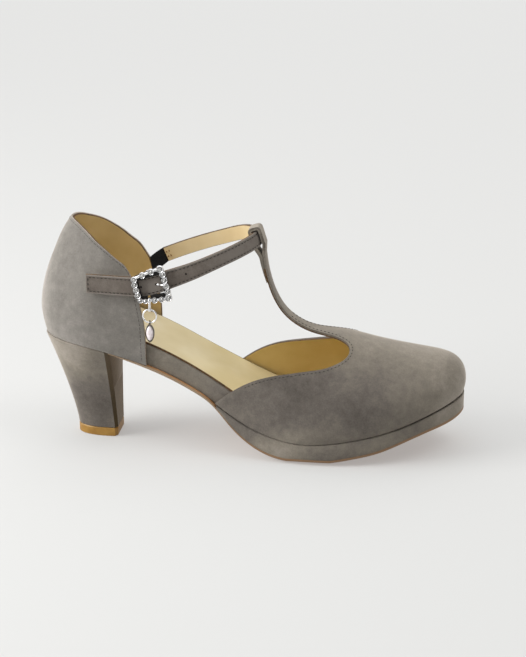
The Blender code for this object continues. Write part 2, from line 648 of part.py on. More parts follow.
def join(target, other):
    """Fuse another object, which then no longer counts by itself, into the target."""
    union = target.modifiers.new("fuse", "BOOLEAN")
    union.operation = "UNION"
    union.object = other
    other.hide_render = True
    other.display_type = "WIRE"


def make_buckle():
    """Beaded frame with its centre bar behind the strap, and the prong; returns where the charm hangs."""
    middle, along, across, outward = buckle_axes()
    stand_off = STRAP_THICKNESS / 2 + MEETING_GAP + BEAD_RADIUS
    bead = np.arange(CORNER_BEADS[-1] * 4) / 4
    outline = buckle_outline(bead)
    path = middle + stand_off * outward + outline[:, :1] * along + outline[:, 1:] * across
    radius = RAIL_RADIUS + (BEAD_RADIUS - RAIL_RADIUS) * np.abs(np.cos(np.pi * bead))**BEAD_POWER
    radius[np.abs(bead - CHARM_BEAD) < CHARM_ROOM] = RAIL_RADIUS
    frame = closed_tube("buckle_frame", path, outward, radius, 8, SILVER)
    reach = BUCKLE_REAR_HALF + (BUCKLE_FRONT_HALF - BUCKLE_REAR_HALF) / 2
    behind = STRAP_THICKNESS / 2 + MEETING_GAP + CENTRE_BAR_RADIUS
    bend = CENTRE_BAR_BEND
    bar_line = [(stand_off, reach), (bend - behind, reach), (-behind, reach - bend),
                (-behind, bend - reach), (bend - behind, -reach), (stand_off, -reach)]
    bar_path = [middle + n * outward + w * across for n, w in bar_line]
    join(frame, open_tube("centre_bar", bar_path, along, CENTRE_BAR_RADIUS, 8, SILVER))
    on_strap = STRAP_THICKNESS / 2 + MEETING_GAP + PRONG_RADIUS
    over_rail = stand_off + BEAD_RADIUS + MEETING_GAP + PRONG_RADIUS
    prong_line = [(0.0030, on_strap), (0.0046, on_strap + 0.0004), (0.0060, over_rail - 0.0008),
                  (0.0072, over_rail), (BUCKLE_HALF_LENGTH + 0.0008, over_rail)]
    prong_path = [middle + a * along + n * outward for a, n in prong_line]
    open_tube("buckle_prong", prong_path, across, PRONG_RADIUS, 8, SILVER)
    return path[int(round(CHARM_BEAD * 4))]


def make_charm(rail):
    """Link on the buckle's low rail, ring in the link, drop with its eye on the ring; each hangs free."""
    x, y, z = rail
    turn = np.linspace(0, math.pi, 8)
    top = [(LINK_BEND * math.cos(a), LINK_BEND * math.sin(a)) for a in turn]
    low = [(-LINK_BEND * math.cos(a), -LINK_REACH - LINK_BEND * math.sin(a)) for a in turn]
    link_line = np.array([(x, y + b, z + c) for b, c in top + low])
    closed_tube("charm_link", link_line, (1.0, 0.0, 0.0), LINK_WIRE, 6, SILVER, rail)
    ring_pivot = np.array([x, y, z - LINK_REACH - LINK_BEND])
    ring_centre = ring_pivot + (0, 0, LINK_WIRE + RING_WIRE + CHARM_PLAY - RING_RADIUS)
    spin = np.linspace(0, 2 * math.pi, 20, endpoint=False)
    ring_line = ring_centre + RING_RADIUS * np.stack([np.cos(spin), 0 * spin, np.sin(spin)], -1)
    closed_tube("charm_ring", ring_line, (0.0, 1.0, 0.0), RING_WIRE, 6, SILVER, ring_pivot)
    drop_pivot = ring_centre - (0, 0, RING_RADIUS)
    turn = np.linspace(0, 2 * math.pi, 12, endpoint=False)
    eye_line = drop_pivot + DROP_EYE * np.stack([0 * turn, np.cos(turn), np.sin(turn)], -1)
    eye = closed_tube("drop_eye", eye_line, (1.0, 0.0, 0.0), DROP_EYE_WIRE, 6, SILVER, drop_pivot)
    down = np.linspace(DROP_NECK, 1, 10)
    girth = np.sin(np.pi * down**0.85)**0.9
    girth[-1] = 0.0
    turn = np.linspace(0, 2 * math.pi, 12, endpoint=False)
    drop_top = drop_pivot[2] - DROP_EYE + DROP_LAP
    rows = [np.stack([x + DROP_HALF_WIDTH * g * np.cos(turn), y + DROP_HALF_DEPTH * g * np.sin(turn),
                      np.full(12, drop_top - DROP_LENGTH * d)], -1) for d, g in zip(down, girth)]
    drop = loft("charm_drop", np.array(rows), SILVER, drop_pivot)
    join(drop, eye)


for old in list(bpy.data.objects):
    bpy.data.objects.remove(old, do_unlink=True)
shoe = bpy.data.objects.new("shoe", None)
bpy.context.collection.objects.link(shoe)
make_outsole()
make_platform()
make_footbed()
make_sock()
make_heel()
make_quarter()
make_vamp()
make_ankle_strap()
make_elastics()
make_charm(make_buckle())
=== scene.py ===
"""Looks of a right T-strap platform pump in grey suede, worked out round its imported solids, in metres."""
import json
import math

import bmesh
import bpy
import numpy as np
from mathutils import Matrix, Vector


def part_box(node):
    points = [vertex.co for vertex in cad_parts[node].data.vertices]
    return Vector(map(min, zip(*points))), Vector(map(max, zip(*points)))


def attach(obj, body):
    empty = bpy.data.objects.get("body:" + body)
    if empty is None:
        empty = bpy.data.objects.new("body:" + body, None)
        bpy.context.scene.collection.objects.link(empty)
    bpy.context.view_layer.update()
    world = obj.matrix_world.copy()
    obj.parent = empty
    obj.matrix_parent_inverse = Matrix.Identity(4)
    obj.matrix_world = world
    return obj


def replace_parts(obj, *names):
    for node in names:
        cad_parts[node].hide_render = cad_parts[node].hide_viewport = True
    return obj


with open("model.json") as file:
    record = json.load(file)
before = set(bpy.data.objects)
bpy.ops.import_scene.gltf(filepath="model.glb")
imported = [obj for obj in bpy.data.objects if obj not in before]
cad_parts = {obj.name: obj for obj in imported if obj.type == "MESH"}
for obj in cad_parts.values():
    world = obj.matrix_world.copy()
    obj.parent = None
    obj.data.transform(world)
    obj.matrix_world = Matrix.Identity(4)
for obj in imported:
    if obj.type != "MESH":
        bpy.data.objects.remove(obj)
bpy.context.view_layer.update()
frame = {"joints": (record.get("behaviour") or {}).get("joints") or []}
scene = bpy.context.scene

# Camera
# The shoe is seen from its outer side, a little from the toe and from above, through a long lens.
PHOTO_WIDTH, PHOTO_HEIGHT = 526, 657
SENSOR_MM = 36.0
FOCAL_PIXELS = 2070.0
CAMERA_AZIMUTH = math.radians(7.6)
CAMERA_ELEVATION = math.radians(20.0)
CAMERA_DISTANCE = 1.150
AIM = Vector((0.003, 0.0, 0.055))
AIM_PIXEL = (258.0, 345.0)

lens = bpy.data.cameras.new("long_lens")
lens.sensor_fit = "VERTICAL"
lens.sensor_height = SENSOR_MM
lens.lens = FOCAL_PIXELS / PHOTO_HEIGHT * SENSOR_MM
lens.shift_x = (PHOTO_WIDTH / 2 - AIM_PIXEL[0]) / PHOTO_HEIGHT
lens.shift_y = (AIM_PIXEL[1] - PHOTO_HEIGHT / 2) / PHOTO_HEIGHT
camera = bpy.data.objects.new("long_lens", lens)
right = Vector((math.cos(CAMERA_AZIMUTH), math.sin(CAMERA_AZIMUTH), 0.0))
ahead = Vector((-math.sin(CAMERA_AZIMUTH), math.cos(CAMERA_AZIMUTH), 0.0))
back = Vector((0.0, 0.0, math.sin(CAMERA_ELEVATION))) - math.cos(CAMERA_ELEVATION) * ahead
turn = Matrix((right, back.cross(right), back)).transposed().to_4x4()
camera.matrix_world = Matrix.Translation(AIM + CAMERA_DISTANCE * back) @ turn
scene.collection.objects.link(camera)
scene.camera = camera

# Floor and light
# A pale matt light table without an edge in view, lit weakly from below, so that shadows on it stay light.
# Softboxes stand overhead, beside the heel and beyond the toe, and a small one in front gives the metal its
# glints; the room is bright above and behind.
FLOOR_HALF = 5.0
FLOOR_HEX = "#9c9c9a"
FLOOR_GLOW = (0.29, 0.43)
FLOOR_GLOW_PLACES = (-0.45, 1.40)
SOFTBOXES = [
    ("overhead", (-0.30, 0.50, 2.80), (3.0, 2.6), 16.0),
    ("beside_heel", (-0.90, -0.32, 0.50), (0.6, 0.6), 11.0),
    ("beyond_toe", (0.95, -0.25, 1.55), (0.8, 0.8), 7.0),
    ("in_front", (-0.10, -1.30, 0.95), (0.36, 0.36), 0.8),
]
LIT_PLACE = Vector((0.0, 0.0, 0.05))
ROOM_AXIS = Vector((-0.40, 0.56, 0.72))
ROOM_STOPS = [(0.00, "#6f6f6e"), (0.40, "#828281"), (0.62, "#c6c6c6"), (0.85, "#ffffff")]
ROOM_STRENGTH = 1.08


def linear(code):
    """sRGB hex colour as linear red, green, blue and alpha."""
    value = np.array([int(code[i:i + 2], 16) for i in (1, 3, 5)]) / 255
    value = np.where(value <= 0.04045, value / 12.92, ((value + 0.055) / 1.055)**2.4)
    return (*value, 1.0)


def add(tree, kind, values=None, links=None):
    """Add one shader node: values are its settings, socket values or colour stops; links feed its sockets."""
    node = tree.nodes.new("ShaderNode" + kind)
    for key, value in (values or {}).items():
        if key == "stops":
            elements = node.color_ramp.elements
            while len(elements) < len(value):
                elements.new(0.5)
            for element, (place, code) in zip(elements, value):
                element.position = place
                element.color = linear(code)
        elif isinstance(key, int) or key in node.inputs:
            node.inputs[key].default_value = value
        else:
            setattr(node, key, value)
    for key, output in (links or {}).items():
        tree.links.new(output, node.inputs[key])
    return node


def start(name, values):
    """New material: its node tree, and its Principled shader with the sockets that are the same all over."""
    material = bpy.data.materials.new(name)
    material.use_nodes = True
    shader = material.node_tree.nodes["Principled BSDF"]
    for key, value in values.items():
        shader.inputs[key].default_value = value
    return material, material.node_tree, shader


# Matt white acrylic of the light table: pale grey without gloss, its weak glow growing with distance
floor_acrylic, tree, shader = start("floor_acrylic", {
    "Base Color": linear(FLOOR_HEX), "Roughness": 0.95, "Specular IOR Level": 0.1,
    "Emission Color": linear("#ffffff")})
away = add(tree, "SeparateXYZ", links={"Vector": add(tree, "TexCoord").outputs["Object"]}).outputs["Y"]
glow = add(tree, "MapRange", {"From Min": FLOOR_GLOW_PLACES[0], "From Max": FLOOR_GLOW_PLACES[1],
                              "To Min": FLOOR_GLOW[0], "To Max": FLOOR_GLOW[1]}, {"Value": away})
tree.links.new(glow.outputs["Result"], shader.inputs["Emission Strength"])
floor_mesh = bpy.data.meshes.new("floor")
floor_corners = FLOOR_HALF * np.array([(-1, -1, 0), (1, -1, 0), (1, 1, 0), (-1, 1, 0)])
floor_mesh.from_pydata(floor_corners.tolist(), [], [(0, 1, 2, 3)])
floor_mesh.materials.append(floor_acrylic)
floor = bpy.data.objects.new("floor", floor_mesh)
scene.collection.objects.link(floor)
for name, place, size, power in SOFTBOXES:
    lamp = bpy.data.lights.new(name, "AREA")
    lamp.shape = "RECTANGLE"
    lamp.size, lamp.size_y = size
    lamp.energy = power
    softbox = bpy.data.objects.new(name, lamp)
    aim = (LIT_PLACE - Vector(place)).to_track_quat("-Z", "Y")
    softbox.matrix_world = Matrix.Translation(place) @ aim.to_matrix().to_4x4()
    scene.collection.objects.link(softbox)
room = bpy.data.worlds.new("studio_room")
room.use_nodes = True
tree = room.node_tree
way = add(tree, "VectorMath", {"operation": "DOT_PRODUCT", 1: ROOM_AXIS},
          {0: add(tree, "TexCoord").outputs["Generated"]})
level = add(tree, "MapRange", {"From Min": -1.0, "From Max": 1.0}, {"Value": way.outputs["Value"]})
ramp = add(tree, "ValToRGB", {"stops": ROOM_STOPS}, {"Fac": level.outputs["Result"]})
tree.links.new(ramp.outputs["Color"], tree.nodes["Background"].inputs["Color"])
tree.nodes["Background"].inputs["Strength"].default_value = ROOM_STRENGTH
scene.world = room
scene.view_settings.view_transform = "Standard"

# Footbed
# An insole board with its edge wrapped in the upper's suede, glued. The wrapped edge shows at the open
# waist; its plan and side view are the last's, which the upper and the sole follow too.
SEAT_BACK = -0.1160
FEATHER_TIP = 0.1170
HEEL_ROUND = 0.0320
HEEL_HALF_WIDTH = 0.0272
WAIST_X = -0.034
BALL_X = {-1: 0.038, 1: 0.046}
WAIST_HALF_WIDTH = {-1: 0.0263, 1: 0.0252}
BALL_HALF_WIDTH = {-1: 0.0383, 1: 0.0380}
TIP_SWING = 0.006
TOE_POWER, TOE_ROOT = 2.2, 2.1
UPPER_WALL = 0.0018
MEETING_GAP = 0.0003
FOOTBED_INSET = UPPER_WALL + 0.0010
FOOTBED_END = FOOTBED_INSET + 0.0006
# The wrapped suede hides the glue line between board and sole
WRAP_LAP = 0.0007
# The sole's toe reaches forward of the last from here on
TOE_REACH_FROM = 0.070
# Feather line, where upper and sole meet: x along the shoe, height
FEATHER = [
    (-0.1160, 0.0615), (-0.1000, 0.0605), (-0.0850, 0.0581), (-0.0700, 0.0542), (-0.0560, 0.0499),
    (-0.0420, 0.0438), (-0.0280, 0.0363), (-0.0140, 0.0272), (0.0000, 0.0192), (0.0140, 0.0144),
    (0.0300, 0.0120), (0.0460, 0.0129), (0.0660, 0.0163), (0.0860, 0.0215), (0.1040, 0.0276),
    (0.1175, 0.0316),
]
# Top of the footbed: x, height
FOOTBED_TOP = [
    (-0.1160, 0.0703), (-0.1000, 0.0706), (-0.0850, 0.0692), (-0.0700, 0.0660), (-0.0560, 0.0612),
    (-0.0420, 0.0549), (-0.0280, 0.0475), (-0.0140, 0.0396), (0.0000, 0.0315), (0.0140, 0.0243),
    (0.0300, 0.0186), (0.0460, 0.0167), (0.0660, 0.0193), (0.0860, 0.0244), (0.1040, 0.0304),
    (0.1175, 0.0344),
]
# Half of the section, from the middle of the bottom to the middle of the top: share of width, of height
FOOTBED_SECTION = [
    (0.0, 0.0), (0.985, 0.0), (0.997, 0.03), (1.0, 0.10), (1.0, 0.45), (1.0, 0.80), (0.996, 0.90),
    (0.985, 0.97), (0.965, 1.0), (0.5, 1.0), (0.0, 1.0),
]


def spline(rows):
    """Natural cubic curve through rows that start with their knot; gives their other values at any knot."""
    table = np.array(rows, float)
    knot, value = table[:, 0], table[:, 1:]
    count, step = len(knot), np.diff(knot)
    system, known = np.eye(count), np.zeros_like(value)
    inner = np.arange(1, count - 1)
    system[inner, inner - 1] = step[:-1]
    system[inner, inner] = 2 * (step[:-1] + step[1:])
    system[inner, inner + 1] = step[1:]
    slope = np.diff(value, axis=0) / step[:, None]
    known[inner] = 6 * np.diff(slope, axis=0)
    bend = np.linalg.solve(system, known)

    def at(t):
        t = np.asarray(t, float)
        i = np.clip(np.searchsorted(knot, t) - 1, 0, count - 2)
        past, left, wide = (t - knot[i])[..., None], (knot[i + 1] - t)[..., None], step[i][..., None]
        curve = (bend[i] * left**3 + bend[i + 1] * past**3) / (6 * wide)
        curve += (value[i] / wide - bend[i] * wide / 6) * left
        curve += (value[i + 1] / wide - bend[i + 1] * wide / 6) * past
        return curve[..., 0] if value.shape[1] == 1 else curve
    return at


feather_z = spline(FEATHER)
footbed_top_z = spline(FOOTBED_TOP)


def smooth_step(t):
    """0 below 0, 1 above 1, and 3t^2 - 2t^3 between."""
    t = np.clip(t, 0.0, 1.0)
    return t * t * (3 - 2 * t)


def half_width(x, side, inset=0.0):
    """Half width of the last's plan: a heel ellipse, smooth steps to waist and ball, and a superellipse to
    the tip."""
    x = np.asarray(x, float)
    behind = 1 - np.clip((x - SEAT_BACK - inset) / (HEEL_ROUND - inset), 0, 1)
    heel = (HEEL_HALF_WIDTH - inset) * np.sqrt(np.clip(1 - behind**2, 0, 1))
    seat_end = SEAT_BACK + HEEL_ROUND
    to_waist = smooth_step((x - seat_end) / (WAIST_X - seat_end))
    to_ball = smooth_step((x - WAIST_X) / (BALL_X[side] - WAIST_X))
    waist = (WAIST_HALF_WIDTH[side] - HEEL_HALF_WIDTH) * to_waist
    ball = (BALL_HALF_WIDTH[side] - WAIST_HALF_WIDTH[side]) * to_ball
    toe = np.clip((x - BALL_X[side]) / (FEATHER_TIP - inset - BALL_X[side]), 0, 1)
    return (heel + waist + ball) * (1 - toe**TOE_POWER)**(1 / TOE_ROOT)


def axis_y(x):
    """Swing of the toe to the inner side, growing with the square of the way past the ball."""
    toe = np.clip((np.asarray(x, float) - BALL_X[-1]) / (FEATHER_TIP - BALL_X[-1]), 0, 1)
    return TIP_SWING * toe**2


def grid(rows, columns, closed=False):
    """Quads of a grid of points stored row by row; closed joins the last column to the first."""
    r, c = np.mgrid[0:rows - 1, 0:columns if closed else columns - 1]
    a, b = (r * columns + c).ravel(), (r * columns + (c + 1) % columns).ravel()
    return np.stack([a, b, b + columns, a + columns], -1)


def make(name, points, faces, materials, slot, body="shoe", which=None, sharp=40.0, turn_out=True,
         worn=None):
    """Piece at the origin from whole arrays, riding on a body; which numbers each face's material, and the
    last argument marks points near cut edges from 0 to 1, where the suede gets a painted highlight."""
    mesh = bpy.data.meshes.new(name)
    corners = [list(dict.fromkeys(face)) for face in np.asarray(faces).tolist()]
    kept = [i for i, face in enumerate(corners) if len(face) > 2]
    mesh.from_pydata(np.asarray(points).reshape(-1, 3).tolist(), [], [corners[i] for i in kept])
    if which is not None:
        mesh.polygons.foreach_set("material_index", np.asarray(which)[kept].astype(np.int32))
    if worn is not None:
        mesh.attributes.new("worn", "FLOAT", "POINT").data.foreach_set("value", worn.astype(np.float32))
    shape = bmesh.new()
    shape.from_mesh(mesh)
    bmesh.ops.remove_doubles(shape, verts=shape.verts, dist=1e-6)
    if turn_out:
        bmesh.ops.recalc_face_normals(shape, faces=shape.faces)
    shape.to_mesh(mesh)
    shape.free()
    mesh.shade_smooth()
    mesh.set_sharp_from_angle(angle=math.radians(sharp))
    for material in materials:
        mesh.materials.append(material)
    result = bpy.data.objects.new(name, mesh)
    scene.collection.objects.link(result)
    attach(result, body)
    return result


def stations(first, last, count, both_round=False):
    """Places along X, crowded as a cosine towards the round tip, or towards both ends if both are round."""
    t = np.linspace(0, 1, count)
    t = (1 - np.cos(np.pi * t)) / 2 if both_round else np.sin(np.pi / 2 * t)
    return first + (last - first) * t


def mirrored(section):
    """Shares and rises of a half section, followed by those of its mirror image."""
    share, rise = np.array(section).T
    return np.append(share, -share[-2:0:-1]), np.append(rise, rise[-2:0:-1])


def carry(x, section, low, top, inset, reach=0.0):
    """Rings of a half section and its mirror image carried along X: share of half width across, share of
    the way from low to top upwards. Reach carries the toe end forward of the last."""
    share, rise = mirrored(section)
    wide = np.where(share < 0, half_width(x, -1, inset)[:, None], half_width(x, 1, inset)[:, None])
    forward = x + reach * smooth_step((x - TOE_REACH_FROM) / (FEATHER_TIP - TOE_REACH_FROM))
    y = axis_y(x)[:, None] + share * wide
    z = low[:, None] + rise * (top - low)[:, None]
    return np.stack([np.broadcast_to(forward[:, None], y.shape), y, z], -1)


def lid(rings):
    """Faces of a ring stack, its two ends closed by strips from side to side."""
    rows, columns = rings.shape[:2]
    k = np.arange(columns // 2)
    strip = np.stack([k, k + 1, (columns - k - 1) % columns, (columns - k) % columns], -1)
    return np.concatenate([grid(rows, columns, closed=True), strip, strip + (rows - 1) * columns])


# Borders of the tone patches (painted light, painted shade and stroked nap) wander by this much
PATCH_BORDER_DRIFT = 0.012
# Soft round patches of lighter or darker tone. They are painted light and shade where the lamps light the
# shoe more or less (the lit toe front and heel back; the shaded heel, T-strap and strap inside the buckle),
# and
# also nap stroked lighter or darker: centre x, y, z, radius, change of tone
LIGHT_SHADE_AND_NAP_PATCHES = [
    (0.026, -0.041, 0.029, 0.070, -0.46), (0.066, -0.032, 0.034, 0.036, -0.14),
    (0.092, 0.000, 0.055, 0.036, -0.04), (0.112, -0.014, 0.034, 0.020, 0.22),
    (0.020, -0.038, 0.005, 0.022, 0.45), (-0.106, -0.026, 0.094, 0.024, -0.14),
    (-0.120, -0.004, 0.080, 0.026, 0.30), (-0.086, -0.018, 0.016, 0.046, -0.44),
    (-0.106, -0.022, 0.046, 0.026, 0.24), (-0.005, -0.022, 0.115, 0.028, 0.28),
    (0.013, 0.000, 0.095, 0.030, -0.34), (-0.050, -0.033, 0.097, 0.011, 0.40),
    (-0.076, -0.031, 0.097, 0.016, 0.08), (-0.060, -0.028, 0.078, 0.026, -0.12),
    (-0.090, -0.028, 0.064, 0.020, 0.14), (0.034, -0.039, 0.019, 0.018, 0.20),
    (0.052, -0.038, 0.020, 0.016, 0.16), (0.092, -0.027, 0.021, 0.018, -0.22),
]


def suede_of(name, stops):
    """Suede: the buffed flesh side of leather. Its short nap lies in soft lighter and darker patches, and the
    listed round patches paint in light and shade as well as stroked nap. It has no gloss and lights up at
    grazing angles. Stops are four tones from dark to light; a point attribute lightens cut edges as a
    painted highlight."""
    material, tree, shader = start(name, {
        "Roughness": 0.95, "Specular IOR Level": 0.08, "Sheen Weight": 0.85, "Sheen Roughness": 0.35,
        "Sheen Tint": linear("#d6cdc2")})
    place = add(tree, "TexCoord").outputs["Object"]
    patch = add(tree, "TexNoise", {"Scale": 1 / 0.030, "Detail": 2.0, "Roughness": 0.45, "Distortion": 0.3},
                {"Vector": place})
    mottle = add(tree, "TexNoise", {"Scale": 1 / 0.0040, "Detail": 3.0, "Roughness": 0.6}, {"Vector": place})
    fibre = add(tree, "TexNoise", {"Scale": 1 / 0.0008, "Detail": 2.0, "Roughness": 0.7}, {"Vector": place})
    tone = add(tree, "Math", {"operation": "MULTIPLY_ADD", 1: 0.55, 2: 0.02}, {0: patch.outputs["Fac"]})
    worn = add(tree, "Attribute", {"attribute_name": "worn"})
    for layer, share in ((mottle, 0.40), (fibre, 0.32), (worn, 0.40)):
        tone = add(tree, "Math", {"operation": "MULTIPLY_ADD", 1: share},
                   {0: layer.outputs["Fac"], 2: tone.outputs[0]})
    drift = add(tree, "TexNoise", {"Scale": 1 / PATCH_BORDER_DRIFT, "Detail": 4.0}, {"Vector": place})
    ragged = add(tree, "VectorMath", {"operation": "MULTIPLY_ADD", 1: (PATCH_BORDER_DRIFT, PATCH_BORDER_DRIFT, PATCH_BORDER_DRIFT)},
                 {0: drift.outputs["Color"], 2: place}).outputs["Vector"]
    # Each listed patch shifts the tone within its radius: painted light, painted shade and stroked nap
    for *centre, radius, change in LIGHT_SHADE_AND_NAP_PATCHES:
        middle = np.add(centre, PATCH_BORDER_DRIFT / 2)
        away = add(tree, "VectorMath", {"operation": "DISTANCE", 1: middle}, {0: ragged})
        light_shade_and_nap_patch = add(tree, "MapRange", {
            "interpolation_type": "SMOOTHSTEP", "From Max": radius, "To Min": change, "To Max": 0.0},
            {"Value": away.outputs["Value"]})
        tone = add(tree, "Math", {"operation": "ADD"}, {0: tone.outputs[0], 1: light_shade_and_nap_patch.outputs["Result"]})
    nap = add(tree, "ValToRGB", {"stops": list(zip((0.05, 0.35, 0.65, 0.95), stops))},
              {"Fac": tone.outputs[0]})
    fuzz = add(tree, "Math", {"operation": "MULTIPLY_ADD", 1: 0.6},
               {0: fibre.outputs["Fac"], 2: mottle.outputs["Fac"]})
    relief = add(tree, "Bump", {"Strength": 0.35, "Distance": 0.0003}, {"Height": fuzz.outputs[0]})
    tree.links.new(nap.outputs["Color"], shader.inputs["Base Color"])
    tree.links.new(relief.outputs["Normal"], shader.inputs["Normal"])
    return material


# Suede of footbed, platform, heel and vamp: a warm mid grey
suede = suede_of("suede", ("#4c4742", "#66605a", "#80796e", "#999187"))

x = stations(SEAT_BACK + FOOTBED_END, FEATHER_TIP - FOOTBED_END, 150, both_round=True)
wrap_low = feather_z(x) + MEETING_GAP - WRAP_LAP
rings = carry(x, FOOTBED_SECTION, wrap_low, footbed_top_z(x), FOOTBED_INSET)
footbed = make("footbed_edge", rings, lid(rings), [suede], "suede")
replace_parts(footbed, "footbed")

# Sock
# A thin cream leather sock glued over the whole footbed. It is painted a little paler towards the heel, as
# painted light where it lies open under the overhead light. Its cut edge and a narrow border are brown and
# show as a dark line along the open waist.
SOCK_THICKNESS = 0.0009
SOCK_END = FOOTBED_INSET + 0.0012
SOCK_SHARE = 0.962
SOCK_SECTION = [
    (0.0, 0.0), (SOCK_SHARE, 0.0), (SOCK_SHARE + 0.004, 0.30), (SOCK_SHARE + 0.002, 0.70),
    (SOCK_SHARE - 0.012, 0.97), (SOCK_SHARE - 0.030, 1.0), (0.85, 1.0), (0.5, 1.0), (0.0, 1.0),
]
# Columns of the half section that are brown
SOCK_BROWN_COLUMNS = (1, 5)
# Places along X between which the sock is painted paler towards the heel, as painted light
HEEL_LIGHT_FROM, HEEL_LIGHT_TO = 0.005, -0.060


def on_sides(rings, faces, first, past):
    """Marks the faces of a ring stack from column first to before past, and those of their mirror image."""
    rows, columns = rings.shape[:2]
    chosen = np.arange(first, past)
    around = np.arange(len(faces)) < (rows - 1) * columns
    return around & np.isin(faces[:, 0] % columns, np.append(chosen, columns - 1 - chosen))


def mottled(name, sockets, stops, pattern, values, grain=None):
    """Material whose colour runs through stops with one texture, given by its kind and settings. Grain is the
    strength and depth of a bump, and the kind and settings of the texture that raises it."""
    material, tree, shader = start(name, sockets)
    place = add(tree, "TexCoord").outputs["Object"]
    spots = add(tree, pattern, values, {"Vector": place}).outputs
    colour = add(tree, "ValToRGB", {"stops": stops}, {"Fac": spots.get("Fac", spots[0])})
    tree.links.new(colour.outputs["Color"], shader.inputs["Base Color"])
    if grain:
        strength, depth, pattern, values = grain
        grains = add(tree, pattern, values, {"Vector": place}).outputs
        relief = add(tree, "Bump", {"Strength": strength, "Distance": depth},
                     {"Height": grains.get("Fac", grains[0])})
        tree.links.new(relief.outputs["Normal"], shader.inputs["Normal"])
    return material


# Cream sock leather: smooth, finely pored, without gloss
sock_leather, tree, shader = start("sock_leather", {"Roughness": 0.80, "Specular IOR Level": 0.05})
place = add(tree, "TexCoord").outputs["Object"]
cloud = add(tree, "TexNoise", {"Scale": 1 / 0.035, "Detail": 3.0}, {"Vector": place})
along = add(tree, "SeparateXYZ", links={"Vector": place}).outputs["X"]
# Painted light: the cream is lifted towards the heel
heel_painted_light = add(tree, "MapRange", {"From Min": HEEL_LIGHT_TO, "From Max": HEEL_LIGHT_FROM, "To Min": 0.38, "To Max": 0.0},
            {"Value": along})
shade = add(tree, "Math", {"operation": "ADD"}, {0: cloud.outputs["Fac"], 1: heel_painted_light.outputs["Result"]})
cream = add(tree, "ValToRGB", {
    "stops": [(0.30, "#c7b688"), (0.55, "#cebe93"), (0.80, "#d9cba6"), (1.00, "#e4d9bc")]},
    {"Fac": shade.outputs[0]})
pores = add(tree, "TexNoise", {"Scale": 1 / 0.0008, "Detail": 2.0}, {"Vector": place})
relief = add(tree, "Bump", {"Strength": 0.12, "Distance": 0.0002}, {"Height": pores.outputs["Fac"]})
tree.links.new(cream.outputs["Color"], shader.inputs["Base Color"])
tree.links.new(relief.outputs["Normal"], shader.inputs["Normal"])

# Stained cut edge of leather: dark brown, rough, slightly uneven
brown_edge = mottled("brown_edge", {"Roughness": 0.75, "Specular IOR Level": 0.25},
                     [(0.35, "#43301f"), (0.65, "#6a4e34")], "TexNoise", {"Scale": 1 / 0.0015, "Detail": 2.0})

x = stations(SEAT_BACK + SOCK_END, FEATHER_TIP - SOCK_END, 150, both_round=True)
low = footbed_top_z(x) + MEETING_GAP
rings = carry(x, SOCK_SECTION, low, low + SOCK_THICKNESS, FOOTBED_INSET)
faces = lid(rings)
brown_border_faces = on_sides(rings, faces, *SOCK_BROWN_COLUMNS)
sock = make("sock", rings, faces, [sock_leather, brown_edge], "sock_leather", which=brown_border_faces)
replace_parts(sock, "insole_sock")

# Vamp
# Toe, both wings and the T-strap, cut in one piece of suede over a smooth tan lining, lasted over the
# toe, tucked under at the feather and stitched along the edges of the two side openings. The T-strap's
# end goes round the ankle strap as a loop and is sewn down behind itself.
SECTION_POWER = 2.3
UPPER_BULGE = 0.0012
BULGE_TOP = math.radians(50)
BULGE_FULL_WIDTH = 0.02
SUEDE_LAYER = 0.0011
SUEDE_ROUND, LINING_ROUND = 0.00035, 0.00020
TUCK, TUCK_HEIGHT = 0.0010, 0.0026
# Ribs from the toe back: feather x, ridge x, ridge height
RIBS = [
    (0.1170, 0.1170, 0.0315), (0.1148, 0.1184, 0.0385), (0.1080, 0.1163, 0.0465),
    (0.0970, 0.1090, 0.0523), (0.0830, 0.0960, 0.0552), (0.0670, 0.0810, 0.0578),
    (0.0500, 0.0650, 0.0614), (0.0340, 0.0500, 0.0652), (0.0190, 0.0365, 0.0672),
    (0.0060, 0.0260, 0.0713), (-0.0060, 0.0176, 0.0788), (-0.0175, 0.0119, 0.0900),
    (-0.0280, 0.0090, 0.1010), (-0.0380, 0.0078, 0.1095),
]
# Edge of each side opening: share of the way back, rise angle of the wing, half width of the T-strap
THROAT_RIB = 6.54
WING_END_RIB = 11.0
THROAT = [
    (0.00, 65.5, 0.0180), (0.12, 59.0, 0.0136), (0.25, 53.0, 0.0104), (0.40, 47.0, 0.0076),
    (0.55, 42.5, 0.0057), (0.70, 35.5, 0.0048), (0.82, 26.5, 0.0044), (0.92, 14.0, 0.0041),
    (1.00, 0.0, 0.0040),
]
# Middle line of the ankle strap, from its inner end round the front to the tail: x, y, z. Both side runs
# fall in a straight line from the front, and the tail is level.
STRAP_ROUTE = [
    (-0.0530, 0.0275, 0.0970), (-0.0430, 0.0280, 0.1010), (-0.0310, 0.0275, 0.1055),
    (-0.0200, 0.0255, 0.1095), (-0.0085, 0.0205, 0.1140), (-0.0010, 0.0125, 0.1165),
    (0.0025, 0.0045, 0.1175), (0.0025, -0.0045, 0.1175), (-0.0010, -0.0125, 0.1165),
    (-0.0085, -0.0205, 0.1140), (-0.0200, -0.0262, 0.1095), (-0.0310, -0.0288, 0.1050),
    (-0.0420, -0.0302, 0.1010), (-0.0520, -0.0309, 0.0975), (-0.0620, -0.0307, 0.0965),
    (-0.0720, -0.0300, 0.0965), (-0.0800, -0.0293, 0.0965), (-0.0870, -0.0286, 0.0965),
]
